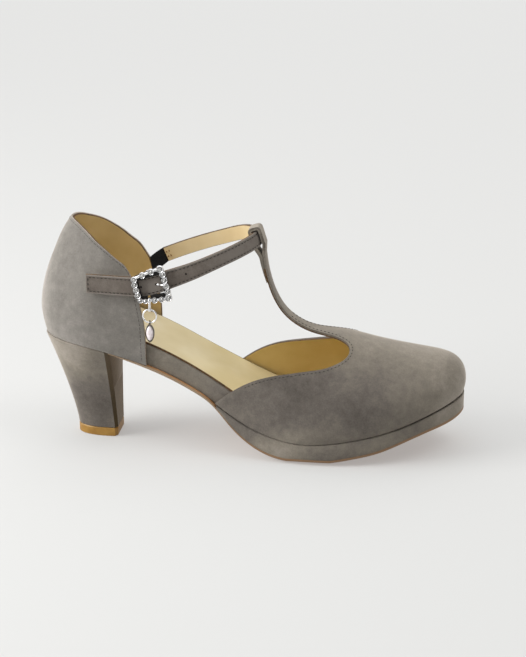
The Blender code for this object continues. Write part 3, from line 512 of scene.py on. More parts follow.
# Knots of the route over which the strap widens, and the knot in the middle of the front
STRAP_WIDENS = (9.0, 13.0)
STRAP_FRONT_KNOT = 6.5
STRAP_WIDTH, STRAP_TAIL_WIDTH = 0.0082, 0.0106
STRAP_THICKNESS = 0.0022
STRAP_LEAN = math.radians(18.0)
LOOP_PLAY = 0.0008
LOOP_CORNER = 0.0022
LOOP_FOOT = 0.0040
LOOP_TAIL_RIBS = (12.75, 11.30)
# The loop's end is skived to this share of the wall, and its inside is faced with suede above this height
LOOP_SKIVE = 0.25
LOOP_FACED_FROM = 0.1005
STITCH_LENGTH, STITCH_GAP, THREAD = 0.0014, 0.0008, 0.00036
STITCH_INSET = 0.0014
# Stitches end at this rib of the T-strap, and this many rows before the wing's point
STITCHED_TO_RIB = 9.6
WING_PLAIN_ROWS = 5

rib_curve = spline([(i, *row) for i, row in enumerate(RIBS)])
throat_curve = spline(THROAT)
strap_route = spline([(i, *row) for i, row in enumerate(STRAP_ROUTE)])


def unit(v):
    """Vectors at length one."""
    return v / np.maximum(np.linalg.norm(v, axis=-1, keepdims=True), 1e-12)


def vamp_point(rib, rise, side):
    """Vamp surface: a superellipse arc from the feather (rise 0) to the ridge (rise 90 degrees) of each rib,
    a low bulge on its side, and the bottom edge tucked in square to the plan outline."""
    rib, rise = np.broadcast_arrays(np.asarray(rib, float), np.asarray(rise, float))
    feather_x, ridge_x, ridge_z = np.moveaxis(rib_curve(rib), -1, 0)
    base_z, base_y = feather_z(feather_x), axis_y(feather_x)
    wide = half_width(feather_x, side)
    across, up = np.cos(rise)**(2 / SECTION_POWER), np.sin(rise)**(2 / SECTION_POWER)
    puff = UPPER_BULGE * np.sin(np.pi * np.clip(rise / BULGE_TOP, 0, 1))
    puff = puff * np.clip(wide / BULGE_FULL_WIDTH, 0, 1)
    step = 1e-5
    narrowing = (half_width(feather_x - step, side) - wide) / step
    lift = up * (ridge_z - base_z)
    tuck = TUCK * (1 - np.clip(lift / TUCK_HEIGHT, 0, 1))**2 / np.sqrt(1 + narrowing**2)
    return np.stack([
        feather_x + up * (ridge_x - feather_x) - tuck * narrowing,
        base_y + up * (axis_y(ridge_x) - base_y) + side * (wide * across + puff - tuck),
        base_z + lift], -1)


def wall(sheet, faces, depth, thickness, skive=1.0):
    """Closed wall under a sheet: its points moved in along their normals by depth and by depth plus
    thickness, and a rim along its open edges; skive scales both at each point. Also numbers the faces
    (0 outside, 1 inside, 2 rim), and gives the sheet's point under each point."""
    _, first, index = np.unique(np.round(sheet, 6), axis=0, return_index=True, return_inverse=True)
    points, quads = sheet[first], index.reshape(-1)[faces]
    corner = points[quads]
    facing = np.cross(corner[:, 2] - corner[:, 0], corner[:, 3] - corner[:, 1])
    normal = np.zeros_like(points)
    np.add.at(normal, quads, np.repeat(unit(facing)[:, None], 4, 1))
    normal = unit(normal)
    edges = np.stack([quads, np.roll(quads, -1, 1)], -1).reshape(-1, 2)
    edges = edges[edges[:, 0] != edges[:, 1]]
    _, where, count = np.unique(np.sort(edges, 1), axis=0, return_index=True, return_counts=True)
    rim = edges[where[count == 1]]
    total = len(points)
    rim = np.stack([rim[:, 1], rim[:, 0], rim[:, 0] + total, rim[:, 1] + total], -1)
    inward = -np.broadcast_to(skive, len(sheet))[first, None] * normal
    both = np.concatenate([points + depth * inward, points + (depth + thickness) * inward])
    which = np.repeat([0, 1, 2], [len(quads), len(quads), len(rim)])
    return both, np.concatenate([quads, quads[:, ::-1] + total, rim]), which, np.tile(first, 2)


def soften(piece, width, material=-1):
    """Round the piece's cut edges; material numbers the one on the round, -1 leaves the faces' own."""
    bevel = piece.modifiers.new("cut_edges", "BEVEL")
    bevel.width = width
    bevel.material = material
    bevel.segments = 2
    bevel.limit_method = "ANGLE"
    bevel.angle_limit = math.radians(50)


def sheets_of_vamp(split):
    """Two wings and the T-strap with its loop as grids that share their edges in front of the openings. Also
    gives ribs and rises of the openings' two edges, and the share of the wall's thickness at each point."""
    front = THROAT_RIB * np.linspace(0, 1, 60)**1.15
    way = np.linspace(0, 1, 60)[1:]
    rib = np.append(front, THROAT_RIB + (WING_END_RIB - THROAT_RIB) * way**2)[:, None]
    wing_edge, strap_half = np.moveaxis(throat_curve(way), -1, 0)
    wing_edge = np.append(np.radians(wing_edge[:-1]), 0.0)
    top = np.append(np.full(len(front), split), wing_edge)[:, None]
    share = np.linspace(0, 1, 25)
    wings = [vamp_point(rib, top * share, -1), vamp_point(rib, top * share, 1)[:, ::-1]]
    upper = np.linspace(WING_END_RIB, len(RIBS) - 1, 24)[1:, None]
    rib = np.append(rib, upper, 0)
    half = np.concatenate([np.full(len(front), 1.0), strap_half, np.full(len(upper), strap_half[-1])])
    wide = half_width(rib_curve(rib)[..., 0], -1)
    across_share = np.clip(half[:, None] / np.maximum(wide, 1e-6), 0, 1)
    strap_edge = np.maximum(split, np.arccos(across_share**(SECTION_POWER / 2)))
    across = np.linspace(-1, 1, 25)
    rise = np.pi / 2 - np.abs(across) * (np.pi / 2 - strap_edge)
    strap = np.where((across < 0)[None, :, None], vamp_point(rib, rise, -1), vamp_point(rib, rise, 1))
    line, thin = loop_path()
    loop = line[:, None] + strap_half[-1] * across[:, None] * np.array((0.0, 1.0, 0.0))
    edges = [column[len(front) - 1:, 0] for column in (rib, top, strap_edge)]
    full = sum(wing[..., 0].size for wing in wings) + strap[..., 0].size
    skive = np.append(np.ones(full), np.repeat(thin, len(across)))
    return [*wings, np.concatenate([strap, loop])], edges, skive


def strap_frame(t):
    """Middle line of the ankle strap with its directions along, across (leaning with the leg) and outward."""
    t = np.asarray(t, float)
    step = 0.01
    along = unit(strap_route(t + step) - strap_route(t - step))
    leg = np.array([-math.sin(STRAP_LEAN), 0.0, math.cos(STRAP_LEAN)])
    across = unit(leg - (along @ leg)[..., None] * along)
    return strap_route(t), along, across, np.cross(across, along)


def run_along(path):
    """Length of a path up to each of its points."""
    return np.append(0, np.cumsum(np.linalg.norm(np.diff(path, axis=0), axis=1)))


def loop_path():
    """Line of the loop in the middle plane: up the strap's front, over it by two quarter circles, down its
    back and along the back of the T-strap, smoothed by a cubic curve through these points. Also gives the
    share of the wall's thickness, which is skived down to the sewn end."""
    middle, _, across, outward = strap_frame(STRAP_FRONT_KNOT)
    reach = STRAP_THICKNESS / 2 + LOOP_PLAY + UPPER_WALL
    top = STRAP_WIDTH / 2 + MEETING_GAP
    turn = np.linspace(0, np.pi / 2, 7)
    over = LOOP_CORNER * np.stack([np.cos(turn) - 1, np.sin(turn)], -1) + (reach, top)
    offset = np.concatenate([[(reach, -LOOP_FOOT), (reach, 0.0)], over, over[::-1] * (-1, 1),
                             [(-reach, 0.0), (-reach, -LOOP_FOOT)]])
    round_strap = middle + offset[:, :1] * outward + offset[:, 1:] * across
    rib = np.linspace(*LOOP_TAIL_RIBS, 5)
    run = unit(rib_curve(rib + 0.05)[:, 1:] - rib_curve(rib - 0.05)[:, 1:])
    thin = np.linspace(1.0, LOOP_SKIVE, len(rib))
    lap = (UPPER_WALL * (1 + thin) + MEETING_GAP)[:, None]
    behind = rib_curve(rib)[:, 1:] + lap * np.stack([-run[:, 1], run[:, 0]], -1)
    sewn = np.stack([behind[:, 0], np.zeros(len(rib)), behind[:, 1]], -1)
    points = np.concatenate([round_strap, sewn])
    thin = np.append(np.ones(len(round_strap)), thin)
    run = run_along(points)
    path = spline(np.column_stack([run, points, thin]))(np.linspace(0, run[-1], 90))
    return path[:, :3], path[:, 3]


def stitch_row(path, normal, length=STITCH_LENGTH, gap=STITCH_GAP, thread=THREAD):
    """Stitches along a path on a surface: each a short thread that bows out of the surface as a cosine and
    thins where it dips back in. Gives points and faces."""
    run = run_along(path)
    count = max(1, int(run[-1] / (length + gap)))
    rings, sides = 7, 6
    s = np.linspace(-1, 1, rings)
    t = (np.arange(count)[:, None] + 0.5) * run[-1] / count + length / 2 * s
    at = np.stack([np.interp(t, run, path[:, k]) for k in range(3)], -1)
    up = unit(np.stack([np.interp(t, run, normal[:, k]) for k in range(3)], -1))
    side = unit(np.cross(up, at[:, -1:] - at[:, :1]))
    bow = thread * (0.9 * np.cos(np.pi / 2 * s) - 0.45)
    radius = thread / 2 * (1 - 0.5 * np.abs(s)**3)
    angle = np.linspace(0, 2 * np.pi, sides, endpoint=False)
    ring = np.cos(angle)[:, None] * side[..., None, :] + np.sin(angle)[:, None] * up[..., None, :]
    points = (at + bow[:, None] * up)[..., None, :] + radius[:, None, None] * ring
    ends = np.array([(3, 2, 1, 0), (5, 4, 3, 0)])
    one = np.concatenate([grid(rings, sides, closed=True), ends, ends[:, ::-1] + (rings - 1) * sides])
    faces = one + rings * sides * np.arange(count)[:, None, None]
    return points.reshape(-1, 3), faces.reshape(-1, 4)


def together(parts):
    """Several point and face arrays as one."""
    before = np.cumsum([0] + [len(points) for points, _ in parts[:-1]])
    faces = [faces + count for (_, faces), count in zip(parts, before)]
    return np.concatenate([points for points, _ in parts]), np.concatenate(faces)


def beside_edge(edge, normal, distance):
    """Path beside a surface's edge: the edge moved in the surface, square to its run; distance signed."""
    return edge + distance * unit(np.cross(normal, np.gradient(edge, axis=0)))


def lining_of(name, stops):
    """Smooth lining leather: closely pored, with a soft polish; stops are its dark, middle and light tone."""
    return mottled(name, {"Roughness": 0.55, "Specular IOR Level": 0.22},
                   list(zip((0.30, 0.55, 0.80), stops)), "TexNoise", {"Scale": 1 / 0.018, "Detail": 4.0},
                   (0.10, 0.0002, "TexVoronoi", {"Scale": 1 / 0.0011}))


def cut_edge_of(name, stops):
    """Cut edge of suede: open fibres without gloss, finely flecked between a dark and a light tone."""
    return mottled(name, {"Roughness": 0.95, "Specular IOR Level": 0.1}, list(zip((0.35, 0.65), stops)),
                   "TexNoise", {"Scale": 1 / 0.0010, "Detail": 2.0})


def thread_of(name, roughness, stops):
    """Sewing thread: dull, its twist drawn as slanting bands between a dark and a light tone, coarser than
    real so that they show."""
    return mottled(name, {"Roughness": roughness, "Specular IOR Level": 0.3}, list(zip((0.2, 0.8), stops)),
                   "TexWave", {"Scale": 1 / 0.0012, "bands_direction": "DIAGONAL"})


# Lining of the vamp: a strong yellow tan
vamp_lining = lining_of("vamp_lining", ("#dcc07c", "#e4ca88", "#ebd394"))

# Cut edge of vamp and strap: dyed through, close to the face's tone
dyed_edge = cut_edge_of("dyed_edge", ("#655f57", "#7a736a"))

# Thread of the suede's seams: dark grey-brown
thread_grey = thread_of("thread_grey", 0.7, ("#27231f", "#393430"))

split = math.radians(THROAT[0][1])
sheets, (edge_rib, wing_edge, strap_edge), skive = sheets_of_vamp(split)
points, faces = together([(s.reshape(-1, 3), grid(*s.shape[:2])) for s in sheets])
outer, outer_faces, which, _ = wall(points, faces, 0.0, SUEDE_LAYER, skive)
vamp = make("vamp_suede", outer, outer_faces, [suede, suede, dyed_edge], "suede", which=which)
soften(vamp, SUEDE_ROUND)
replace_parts(vamp, "vamp")
inner, inner_faces, which, _ = wall(points, faces, SUEDE_LAYER, UPPER_WALL - SUEDE_LAYER, skive)
in_loop = inner[inner_faces, 2].mean(1) > LOOP_FACED_FROM
lining = make("vamp_lining", inner, inner_faces, [vamp_lining, vamp_lining, brown_edge, suede],
              "sock_leather", which=np.where(in_loop, 3, which))
soften(lining, LINING_ROUND, 2)
rows = []
sewn = edge_rib < STITCHED_TO_RIB
on_wing = slice(len(wing_edge) - 1 - WING_PLAIN_ROWS, None, -1)
ribs = np.append(edge_rib[on_wing], edge_rib[sewn][1:])
rises = np.append(wing_edge[on_wing], strap_edge[sewn][1:])
for side in (-1, 1):
    rim = vamp_point(ribs, rises, side)
    by_rib = vamp_point(ribs + 0.02, rises, side) - vamp_point(ribs - 0.02, rises, side)
    by_rise = vamp_point(ribs, rises + 0.01, side) - vamp_point(ribs, rises - 0.01, side)
    normal = unit(side * np.cross(by_rib, by_rise))
    rows.append(stitch_row(beside_edge(rim, normal, side * STITCH_INSET), normal))
make("vamp_stitches", *together(rows), [thread_grey], "suede", sharp=80.0)

# Quarter
# The counter round the heel: suede over a stiffener and a smooth tan lining, open at the waist, its
# raw collar edge stitched close to the rim. It is pinched in at the top of the back to hold the heel.
QUARTER_FRONT = -0.0552
COUNTER_WALL = 0.0022
COLLAR_HEIGHT = 0.0651
COLLAR_PINCH = 0.36
PINCH_FOOT = 0.0120
PINCH_TURN = (0.35, 0.85)
# Where the seam turns up along the front edge, and its height over the feather there
SEAM_TURN = 0.974
SEAM_FOOT = 0.002
# Back of the quarter by height over the feather: height, back x, width share, front edge x
QUARTER = [
    (0.0000, -0.1160, 1.000, -0.0552), (0.0045, -0.1171, 1.015, -0.0553),
    (0.0130, -0.1184, 1.030, -0.0554), (0.0230, -0.1175, 1.020, -0.0560),
    (0.0350, -0.1145, 0.980, -0.0585), (0.0470, -0.1099, 0.915, -0.0612),
    (0.0590, -0.1043, 0.830, -0.0640), (0.0670, -0.0990, 0.765, -0.0660),
]
# Topline: share of the way from the back to the front edge, height over the feather
TOPLINE = [
    (0.00, 0.0651), (0.15, 0.0651), (0.30, 0.0646), (0.45, 0.0633), (0.60, 0.0614), (0.72, 0.0593),
    (0.82, 0.0574), (0.90, 0.0553), (0.96, 0.0526), (1.00, 0.0470),
]
quarter_curve = spline(QUARTER)
topline_h = spline(TOPLINE)


def quarter_point(around, height):
    """Quarter surface: around from -1 (outer front edge) by the back to 1; the plan outline of the last,
    moved and narrowed with height, and pinched towards the top of the back."""
    around, height = np.broadcast_arrays(np.asarray(around, float), np.asarray(height, float))
    side_way = np.abs(around)
    way = 1 - np.cos(np.pi / 2 * side_way)
    foot_x = SEAT_BACK + (QUARTER_FRONT - SEAT_BACK) * way
    back_x, narrowing, front_x = np.moveaxis(quarter_curve(height), -1, 0)
    high = smooth_step((height - PINCH_FOOT) / (COLLAR_HEIGHT - PINCH_FOOT))
    behind = 1 - smooth_step((side_way - PINCH_TURN[0]) / (PINCH_TURN[1] - PINCH_TURN[0]))
    wide = np.where(around < 0, -half_width(foot_x, -1), half_width(foot_x, 1))
    wide = wide * narrowing * (1 - COLLAR_PINCH * high * behind)
    return np.stack([back_x + (front_x - back_x) * way, wide, feather_z(foot_x) + height], -1)


# Raw cut edge of the collar: the dye is paler there and the fibres stand open
raw_edge = cut_edge_of("raw_edge", ("#a0968a", "#b8aea2"))

# Suede of the quarter: a little cooler than the vamp's
cool_suede = suede_of("cool_suede", ("#4a4744", "#64605c", "#7e7a74", "#97918c"))

# Lining of the quarter: tan
quarter_lining = lining_of("quarter_lining", ("#ccb27c", "#d6bd88", "#dfc896"))

around = np.linspace(1, -1, 141)
sheet = quarter_point(around, np.linspace(0, 1, 46)[:, None] * topline_h(np.abs(around)))
points, faces = sheet.reshape(-1, 3), grid(*sheet.shape[:2])
outer, outer_faces, which, _ = wall(points, faces, 0.0, SUEDE_LAYER)
quarter = make("quarter_suede", outer, outer_faces, [cool_suede, cool_suede, raw_edge], "suede", which=which)
soften(quarter, SUEDE_ROUND)
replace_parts(quarter, "quarter")
inner, inner_faces, which, _ = wall(points, faces, SUEDE_LAYER, COUNTER_WALL - SUEDE_LAYER)
lining = make("quarter_lining", inner, inner_faces, [quarter_lining, quarter_lining, brown_edge],
              "sock_leather", which=which)
soften(lining, LINING_ROUND, 2)


def quarter_normal(around, height):
    """Outward normal of the quarter, from its two surface directions."""
    by_turn = quarter_point(around + 0.004, height) - quarter_point(around - 0.004, height)
    by_height = quarter_point(around, height + 0.0003) - quarter_point(around, height - 0.0003)
    return unit(np.cross(by_turn, by_height))


on_rim = np.linspace(-SEAM_TURN, SEAM_TURN, 200)
up_front = np.linspace(SEAM_FOOT, topline_h(SEAM_TURN) - STITCH_INSET, 30)
turns = np.concatenate([np.full(30, -SEAM_TURN), on_rim, np.full(30, SEAM_TURN)])
heights = np.concatenate([up_front, topline_h(np.abs(on_rim)) - STITCH_INSET, up_front[::-1]])
points, faces = stitch_row(quarter_point(turns, heights), quarter_normal(turns, heights))
make("quarter_stitches", points, faces, [thread_grey], "suede", sharp=80.0)

# Platform
# A light board under the forefoot, wrapped in suede and tapering out into the waist, glued between the
# lasted upper and the outsole.
PLATFORM_BACK = -0.0165
SOLE_INSET = 0.0005
OUTSOLE_THICKNESS = 0.0017
TOE_REACH = 0.0012
# The sole's edge rises by this much beyond a flat share of the width; the rise grows over one run from the
# waist's end and fades over another towards the tip
SOLE_EDGE_LIFT = 0.0017
TREAD_FLAT = 0.60
LIFT_RUN, TIP_RUN = 0.035, 0.020
# The cover hides the glue line between board and sole
COVER_LAP = 0.0008
# Underside of the sole on its middle line: x, height (below zero stands for the flat tread)
TREAD = [
    (-0.0800, 0.0563), (-0.0560, 0.0478), (-0.0420, 0.0417), (-0.0280, 0.0342), (-0.0200, 0.0289),
    (-0.0140, 0.0228), (-0.0080, 0.0161), (0.0000, 0.0093), (0.0080, 0.0046), (0.0160, 0.0015),
    (0.0250, -0.0003), (0.0450, -0.0003), (0.0600, 0.0024), (0.0740, 0.0057), (0.0900, 0.0119),
    (0.1040, 0.0168), (0.1175, 0.0221),
]
PLATFORM_SECTION = [
    (0.0, 0.0), (TREAD_FLAT, 0.0), (0.985, 0.0), (0.999, 0.10), (1.008, 0.30), (1.012, 0.55),
    (1.008, 0.80), (0.998, 0.94), (0.975, 1.0), (0.5, 1.0), (0.0, 1.0),
]
tread_curve = spline(TREAD)


def tread_z(x):
    """Underside of the sole: the tread's curve, cut flat at the floor."""
    return np.maximum(tread_curve(x), 0.0)


def edge_lift(x):
    """Rise of the tread's edge over its middle: a smooth step up from the waist's end times one down to the
    tip."""
    tip = (FEATHER_TIP - SOLE_INSET - x) / TIP_RUN
    return SOLE_EDGE_LIFT * smooth_step(x / LIFT_RUN) * smooth_step(tip)


def lift_edges(rings, section, x, top_share):
    """Raise a sole piece's points beyond its flat middle by the edge lift, at its top by a share of it."""
    share, rise = mirrored(section)
    out = np.clip((np.abs(share) - TREAD_FLAT) / (1 - TREAD_FLAT), 0, 1)
    rings[..., 2] += edge_lift(x)[:, None] * out * (1 - (1 - top_share) * rise)
    return rings


x = stations(PLATFORM_BACK, FEATHER_TIP - SOLE_INSET, 120)
cover_low = tread_z(x) + OUTSOLE_THICKNESS + MEETING_GAP - COVER_LAP
rings = carry(x, PLATFORM_SECTION, cover_low, feather_z(x) - MEETING_GAP, SOLE_INSET, TOE_REACH)
rings = lift_edges(rings, PLATFORM_SECTION, x, 0.0)
platform = make("platform_cover", rings, lid(rings), [suede], "suede")
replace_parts(platform, "platform")

# Outsole
# Thin sole leather from the toe to the heel's breast, glued on last. Its tread face is plain tan. Its
# cut edge is slightly bevelled and stained, paler at the waist and browner round the forefoot, with painted
# shade darkening it where it turns down at the start of the forefoot.
OUTSOLE_BACK = -0.0766
OUTSOLE_SECTION = [
    (0.0, 0.0), (TREAD_FLAT, 0.0), (0.968, 0.0), (0.984, 0.10), (0.992, 0.35), (0.998, 0.70),
    (0.998, 0.94), (0.98, 1.0), (TREAD_FLAT, 1.0), (0.0, 1.0),
]
# Columns of the half section on the cut edge, and places between which its stain and painted shade change
OUTSOLE_CUT = (3, 7)
STAIN_AND_SHADE_FROM, STAIN_AND_SHADE_TO = -0.030, 0.010

# Sole leather: vegetable tanned, buffed, with faint streaks along the shoe
sole_leather, tree, shader = start("sole_leather", {"Roughness": 0.55, "Specular IOR Level": 0.35})
place = add(tree, "TexCoord").outputs["Object"]
stretch = add(tree, "Mapping", {"Scale": (1 / 0.040, 1 / 0.004, 1 / 0.010)}, {"Vector": place})
streak = add(tree, "TexNoise", {"Scale": 1.0, "Detail": 4.0}, {"Vector": stretch.outputs["Vector"]})
tan = add(tree, "ValToRGB", {"stops": [(0.30, "#a9794e"), (0.70, "#c29468")]}, {"Fac": streak.outputs["Fac"]})
relief = add(tree, "Bump", {"Strength": 0.10, "Distance": 0.0002}, {"Height": streak.outputs["Fac"]})
tree.links.new(tan.outputs["Color"], shader.inputs["Base Color"])
tree.links.new(relief.outputs["Normal"], shader.inputs["Normal"])

# Stained cut edge of the sole: satin brown, changing along the shoe; its darker middle stop is painted shade
sole_edge, tree, shader = start("sole_edge", {"Roughness": 0.60, "Specular IOR Level": 0.3})
place = add(tree, "TexCoord").outputs["Object"]
along = add(tree, "MapRange", {"From Min": STAIN_AND_SHADE_FROM, "From Max": STAIN_AND_SHADE_TO},
            {"Value": add(tree, "SeparateXYZ", links={"Vector": place}).outputs["X"]})
edge_stain_and_shade = add(tree, "ValToRGB", {"stops": [(0.0, "#98826a"), (0.50, "#7a634b"), (1.0, "#8a6e53")]},
                {"Fac": along.outputs["Result"]})
tree.links.new(edge_stain_and_shade.outputs["Color"], shader.inputs["Base Color"])

x = np.append(np.linspace(OUTSOLE_BACK, PLATFORM_BACK, 40)[:-1],
              stations(PLATFORM_BACK, FEATHER_TIP - SOLE_INSET, 120))
low = tread_z(x)
top = np.minimum(low + OUTSOLE_THICKNESS, feather_z(x) - MEETING_GAP)
rings = carry(x, OUTSOLE_SECTION, low, top, SOLE_INSET, TOE_REACH)
rings = lift_edges(rings, OUTSOLE_SECTION, x, 1.0)
faces = lid(rings)
cut_side = on_sides(rings, faces, *OUTSOLE_CUT)
outsole = make("outsole_leather", rings, faces, [sole_leather, sole_edge], "outsole_tan", which=cut_side)
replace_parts(outsole, "outsole")

# Heel
# A moulded heel wrapped in suede: round at the back, narrowing downwards, with two chamfers and a flat
# breast; the cover is glued and its joins lie on the breast's edges.
TOP_PIECE_HEIGHT = 0.0050
HEEL_TIP_HALF_WIDTH = 0.0105
HEEL_TIP_BACK = -0.0993
HEEL_SEAT_HALF_WIDTH = HEEL_HALF_WIDTH - 0.0006
HEEL_BACK_SWEEP, HEEL_SIDE_SWEEP = 1.3, 1.25
HEEL_CHAMFER = 0.0015
BREAST_TOP, BREAST_BOTTOM = -0.0772, -0.0755
# The breast's half width as a share of the heel's, at the bottom and at the seat
BREAST_SHARE_BOTTOM, BREAST_SHARE_SEAT = 0.78, 0.68
# The sides reach full width this many times sooner than the breast, as a sine to this power
HEEL_TURN, HEEL_FULLNESS = 1.12, 0.85
HEEL_POINTS, CHAMFER_POINTS = 48, 4
# Both ends of the cover are drawn in a little at the glue lines
HEEL_DRAWN_BOTTOM, HEEL_DRAWN_SEAT = 0.0002, 0.0005


def heel_ring(share, shrink=0.0):
    """Plan ring of the heel at a share of its height: from the back on, x runs as one less the cosine of the
    turn and y as a power of its sine, then come chamfer and breast; back and sides sweep with powers of the
    share."""
    back_x = HEEL_TIP_BACK + (SEAT_BACK - HEEL_TIP_BACK) * share**HEEL_BACK_SWEEP + shrink
    sweep = share**HEEL_SIDE_SWEEP
    wide = HEEL_TIP_HALF_WIDTH + (HEEL_SEAT_HALF_WIDTH - HEEL_TIP_HALF_WIDTH) * sweep - shrink
    breast_x = BREAST_BOTTOM + (BREAST_TOP - BREAST_BOTTOM) * share - shrink
    breast_share = BREAST_SHARE_BOTTOM + (BREAST_SHARE_SEAT - BREAST_SHARE_BOTTOM) * share
    turn = np.linspace(0, 1, HEEL_POINTS)
    cut = np.linspace(0, 1, CHAMFER_POINTS + 1)[1:]
    x = back_x + (breast_x - HEEL_CHAMFER - back_x) * (1 - np.cos(np.pi / 2 * turn))
    y = wide * np.sin(np.pi / 2 * np.clip(turn * HEEL_TURN, 0, 1))**HEEL_FULLNESS
    x = np.append(x, breast_x - HEEL_CHAMFER * (1 - cut))
    y = np.append(y, wide * (1 + (breast_share - 1) * cut))
    return np.append(x, x[:0:-1]), np.append(-y, y[:0:-1])


def stack(shares, height, shrink):
    """Rings of the heel at given shares; height turns a ring's x and share into z."""
    rings = []
    for share, drawn_in in zip(shares, shrink):
        x, y = heel_ring(share, drawn_in)
        rings.append(np.stack([x, y, height(x, share)], -1))
    return np.array(rings)


# Suede of the breast and its chamfers: darker and browner than the rest. This is painted shade for the
# breast, which lies in shade under the arch, warmed by painted light bounced from the sole
breast_painted_shade = suede_of("breast_painted_shade", ("#39301e", "#473c27", "#56492f", "#665a3c"))

heel_bottom = TOP_PIECE_HEIGHT + MEETING_GAP
shares = np.concatenate([[0.0], np.linspace(0.004, 0.99, 40), [1.0]])
drawn = np.zeros(len(shares))
drawn[0], drawn[-1] = HEEL_DRAWN_BOTTOM, HEEL_DRAWN_SEAT
rings = stack(shares, lambda x, s: heel_bottom + s * (feather_z(x) - MEETING_GAP - heel_bottom), drawn)
faces = lid(rings)
on_breast = on_sides(rings, faces, HEEL_POINTS - 1, HEEL_POINTS + CHAMFER_POINTS)
heel = make("heel_cover", rings, faces, [suede, breast_painted_shade], "suede", which=on_breast, sharp=18.0)
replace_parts(heel, "heel_block")

# Top-piece
# The wearing piece under the heel: honey-coloured rubber, moulded, nailed and glued on, then trimmed flush
# with the heel's cover; its lower edge is slightly rounded.
# Its section: height, and how far the outline is drawn in there
TOP_PIECE_SECTION = [
    (0.0, 0.0004), (0.0002, 0.0001), (0.0006, 0.0), (0.0030, 0.0), (TOP_PIECE_HEIGHT - 0.0004, 0.0),
    (TOP_PIECE_HEIGHT, 0.0003),
]

# Moulded rubber: an even honey tone, satin where it was trimmed, with fine grinding marks
honey_rubber = mottled("honey_rubber", {"Roughness": 0.42, "Specular IOR Level": 0.4},
                       [(0.30, "#8f6828"), (0.70, "#a47d39")],
                       "TexNoise", {"Scale": 1 / 0.006, "Detail": 3.0},
                       (0.15, 0.0001, "TexNoise", {"Scale": 1 / 0.0007, "Detail": 2.0}))

level, drawn = np.array(TOP_PIECE_SECTION).T
rings = stack(np.zeros(len(level)), lambda x, s: np.zeros_like(x), drawn)
rings[..., 2] = level[:, None]
top_piece = make("top_piece_rubber", rings, lid(rings), [honey_rubber], "top_piece", sharp=18.0)
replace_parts(top_piece, "top_piece")

# Ankle strap
# A suede strap lined with cream leather, its edges cut raw and stitched close by. It starts at the inner
# elastic, goes through the T-strap's loop and the buckle, and its tail lies on the outer quarter.
STRAP_SUEDE, STRAP_ROUND = 0.0012, 0.00030
STRAP_STITCH_INSET = 0.0013
# The stitches draw in a shallow furrow; its depth, half width, and the length of a knot at the tail
FURROW_DEPTH, FURROW_HALF = 0.00016, 0.00040
TAIL_REACH = 0.0070
# In knots of the route: where the side seams end before the tail, two short seams of thicker thread that hold
# the inner end, and the punched holes
TAIL_PLAIN = 0.2
END_SEAMS, END_THREAD = (0.10, 0.26), 0.00055
HOLES = (11.10, 12.60, 13.42)
HOLE_RADIUS = 0.00050
# Hole profile from its raised rim to a bottom just over the face: share of the radius, height
HOLE = [(1.25, 0.00001), (1.10, 0.00010), (0.95, 0.00006), (0.55, 0.00004), (0.02, 0.00004)]

# Suede of the strap: darker than the vamp's, with a painted highlight along its raised edges
strap_suede = suede_of("strap_suede", ("#3f3b37", "#544e4a", "#686059", "#7d766f"))

# Lining of the strap: pale cream
strap_lining = lining_of("strap_lining", ("#cdb68b", "#d5c097", "#dcc9a3"))

# Orange-brown thread on the strap's lining side
thread_tan = thread_of("thread_tan", 0.65, ("#6b3f18", "#8a5a2c"))

# Shadowed inside of a punched hole: dark bare fibre
hole_dark = start("hole_dark", {"Base Color": linear("#2a241e"), "Roughness": 0.9})[0]


def strap_width(knot):
    """Width of the ankle strap: narrow round the leg, a smooth step wider at the buckle and the tail."""
    first, last = STRAP_WIDENS
    return STRAP_WIDTH + (STRAP_TAIL_WIDTH - STRAP_WIDTH) * smooth_step((knot - first) / (last - first))


def seam_across(at, half, across, out, thread=THREAD):
    """Short seam straight across the strap, on the face that looks outwards."""
    path = at + np.linspace(-half, half, 12) * across + STRAP_THICKNESS / 2 * out
    return stitch_row(path, np.repeat(out[None], 12, 0), thread=thread)


def turned(centres, radius, profile, first, second, out, sides):
    """Turned shapes on several centres: a profile of radius share and height swept round the outward axis."""
    share, lift = np.array(profile).T
    angle = np.linspace(0, 2 * np.pi, sides, endpoint=False)
    ring = np.cos(angle)[:, None] * first + np.sin(angle)[:, None] * second
    swept = share[:, None, None] * ring * radius[:, None, None, None] + lift[:, None, None] * out
    points = centres[:, None, None] + swept
    one = grid(len(profile), sides, closed=True)
    faces = one + len(profile) * sides * np.arange(len(centres))[:, None, None]
    return points.reshape(-1, 3), faces.reshape(-1, 4)


end_knot = len(STRAP_ROUTE) - 1
knots = np.linspace(0, end_knot, 420)
middle, along, across, outward = strap_frame(knots)
wide = strap_width(knots)[:, None]
lanes = np.linspace(-0.5, 0.5, 31) * wide
to_edge = np.minimum(wide / 2 - np.abs(lanes), TAIL_REACH * (end_knot - knots)[:, None])
furrow = FURROW_DEPTH * np.exp(-((to_edge - STRAP_STITCH_INSET) / FURROW_HALF)**2)
sheet = middle[:, None] + lanes[..., None] * across[:, None] + STRAP_THICKNESS / 2 * outward[:, None]
points, faces = sheet.reshape(-1, 3), grid(*sheet.shape[:2])
pressed = sheet - furrow[..., None] * outward[:, None]
outer, outer_faces, which, under = wall(pressed.reshape(-1, 3), faces, 0.0, STRAP_SUEDE)
# Painted highlight: the strap's suede is lightened within the stitch inset of its edges, where the raised
# edges catch the light
edge_highlight_share = 1 - smooth_step(to_edge / STRAP_STITCH_INSET)
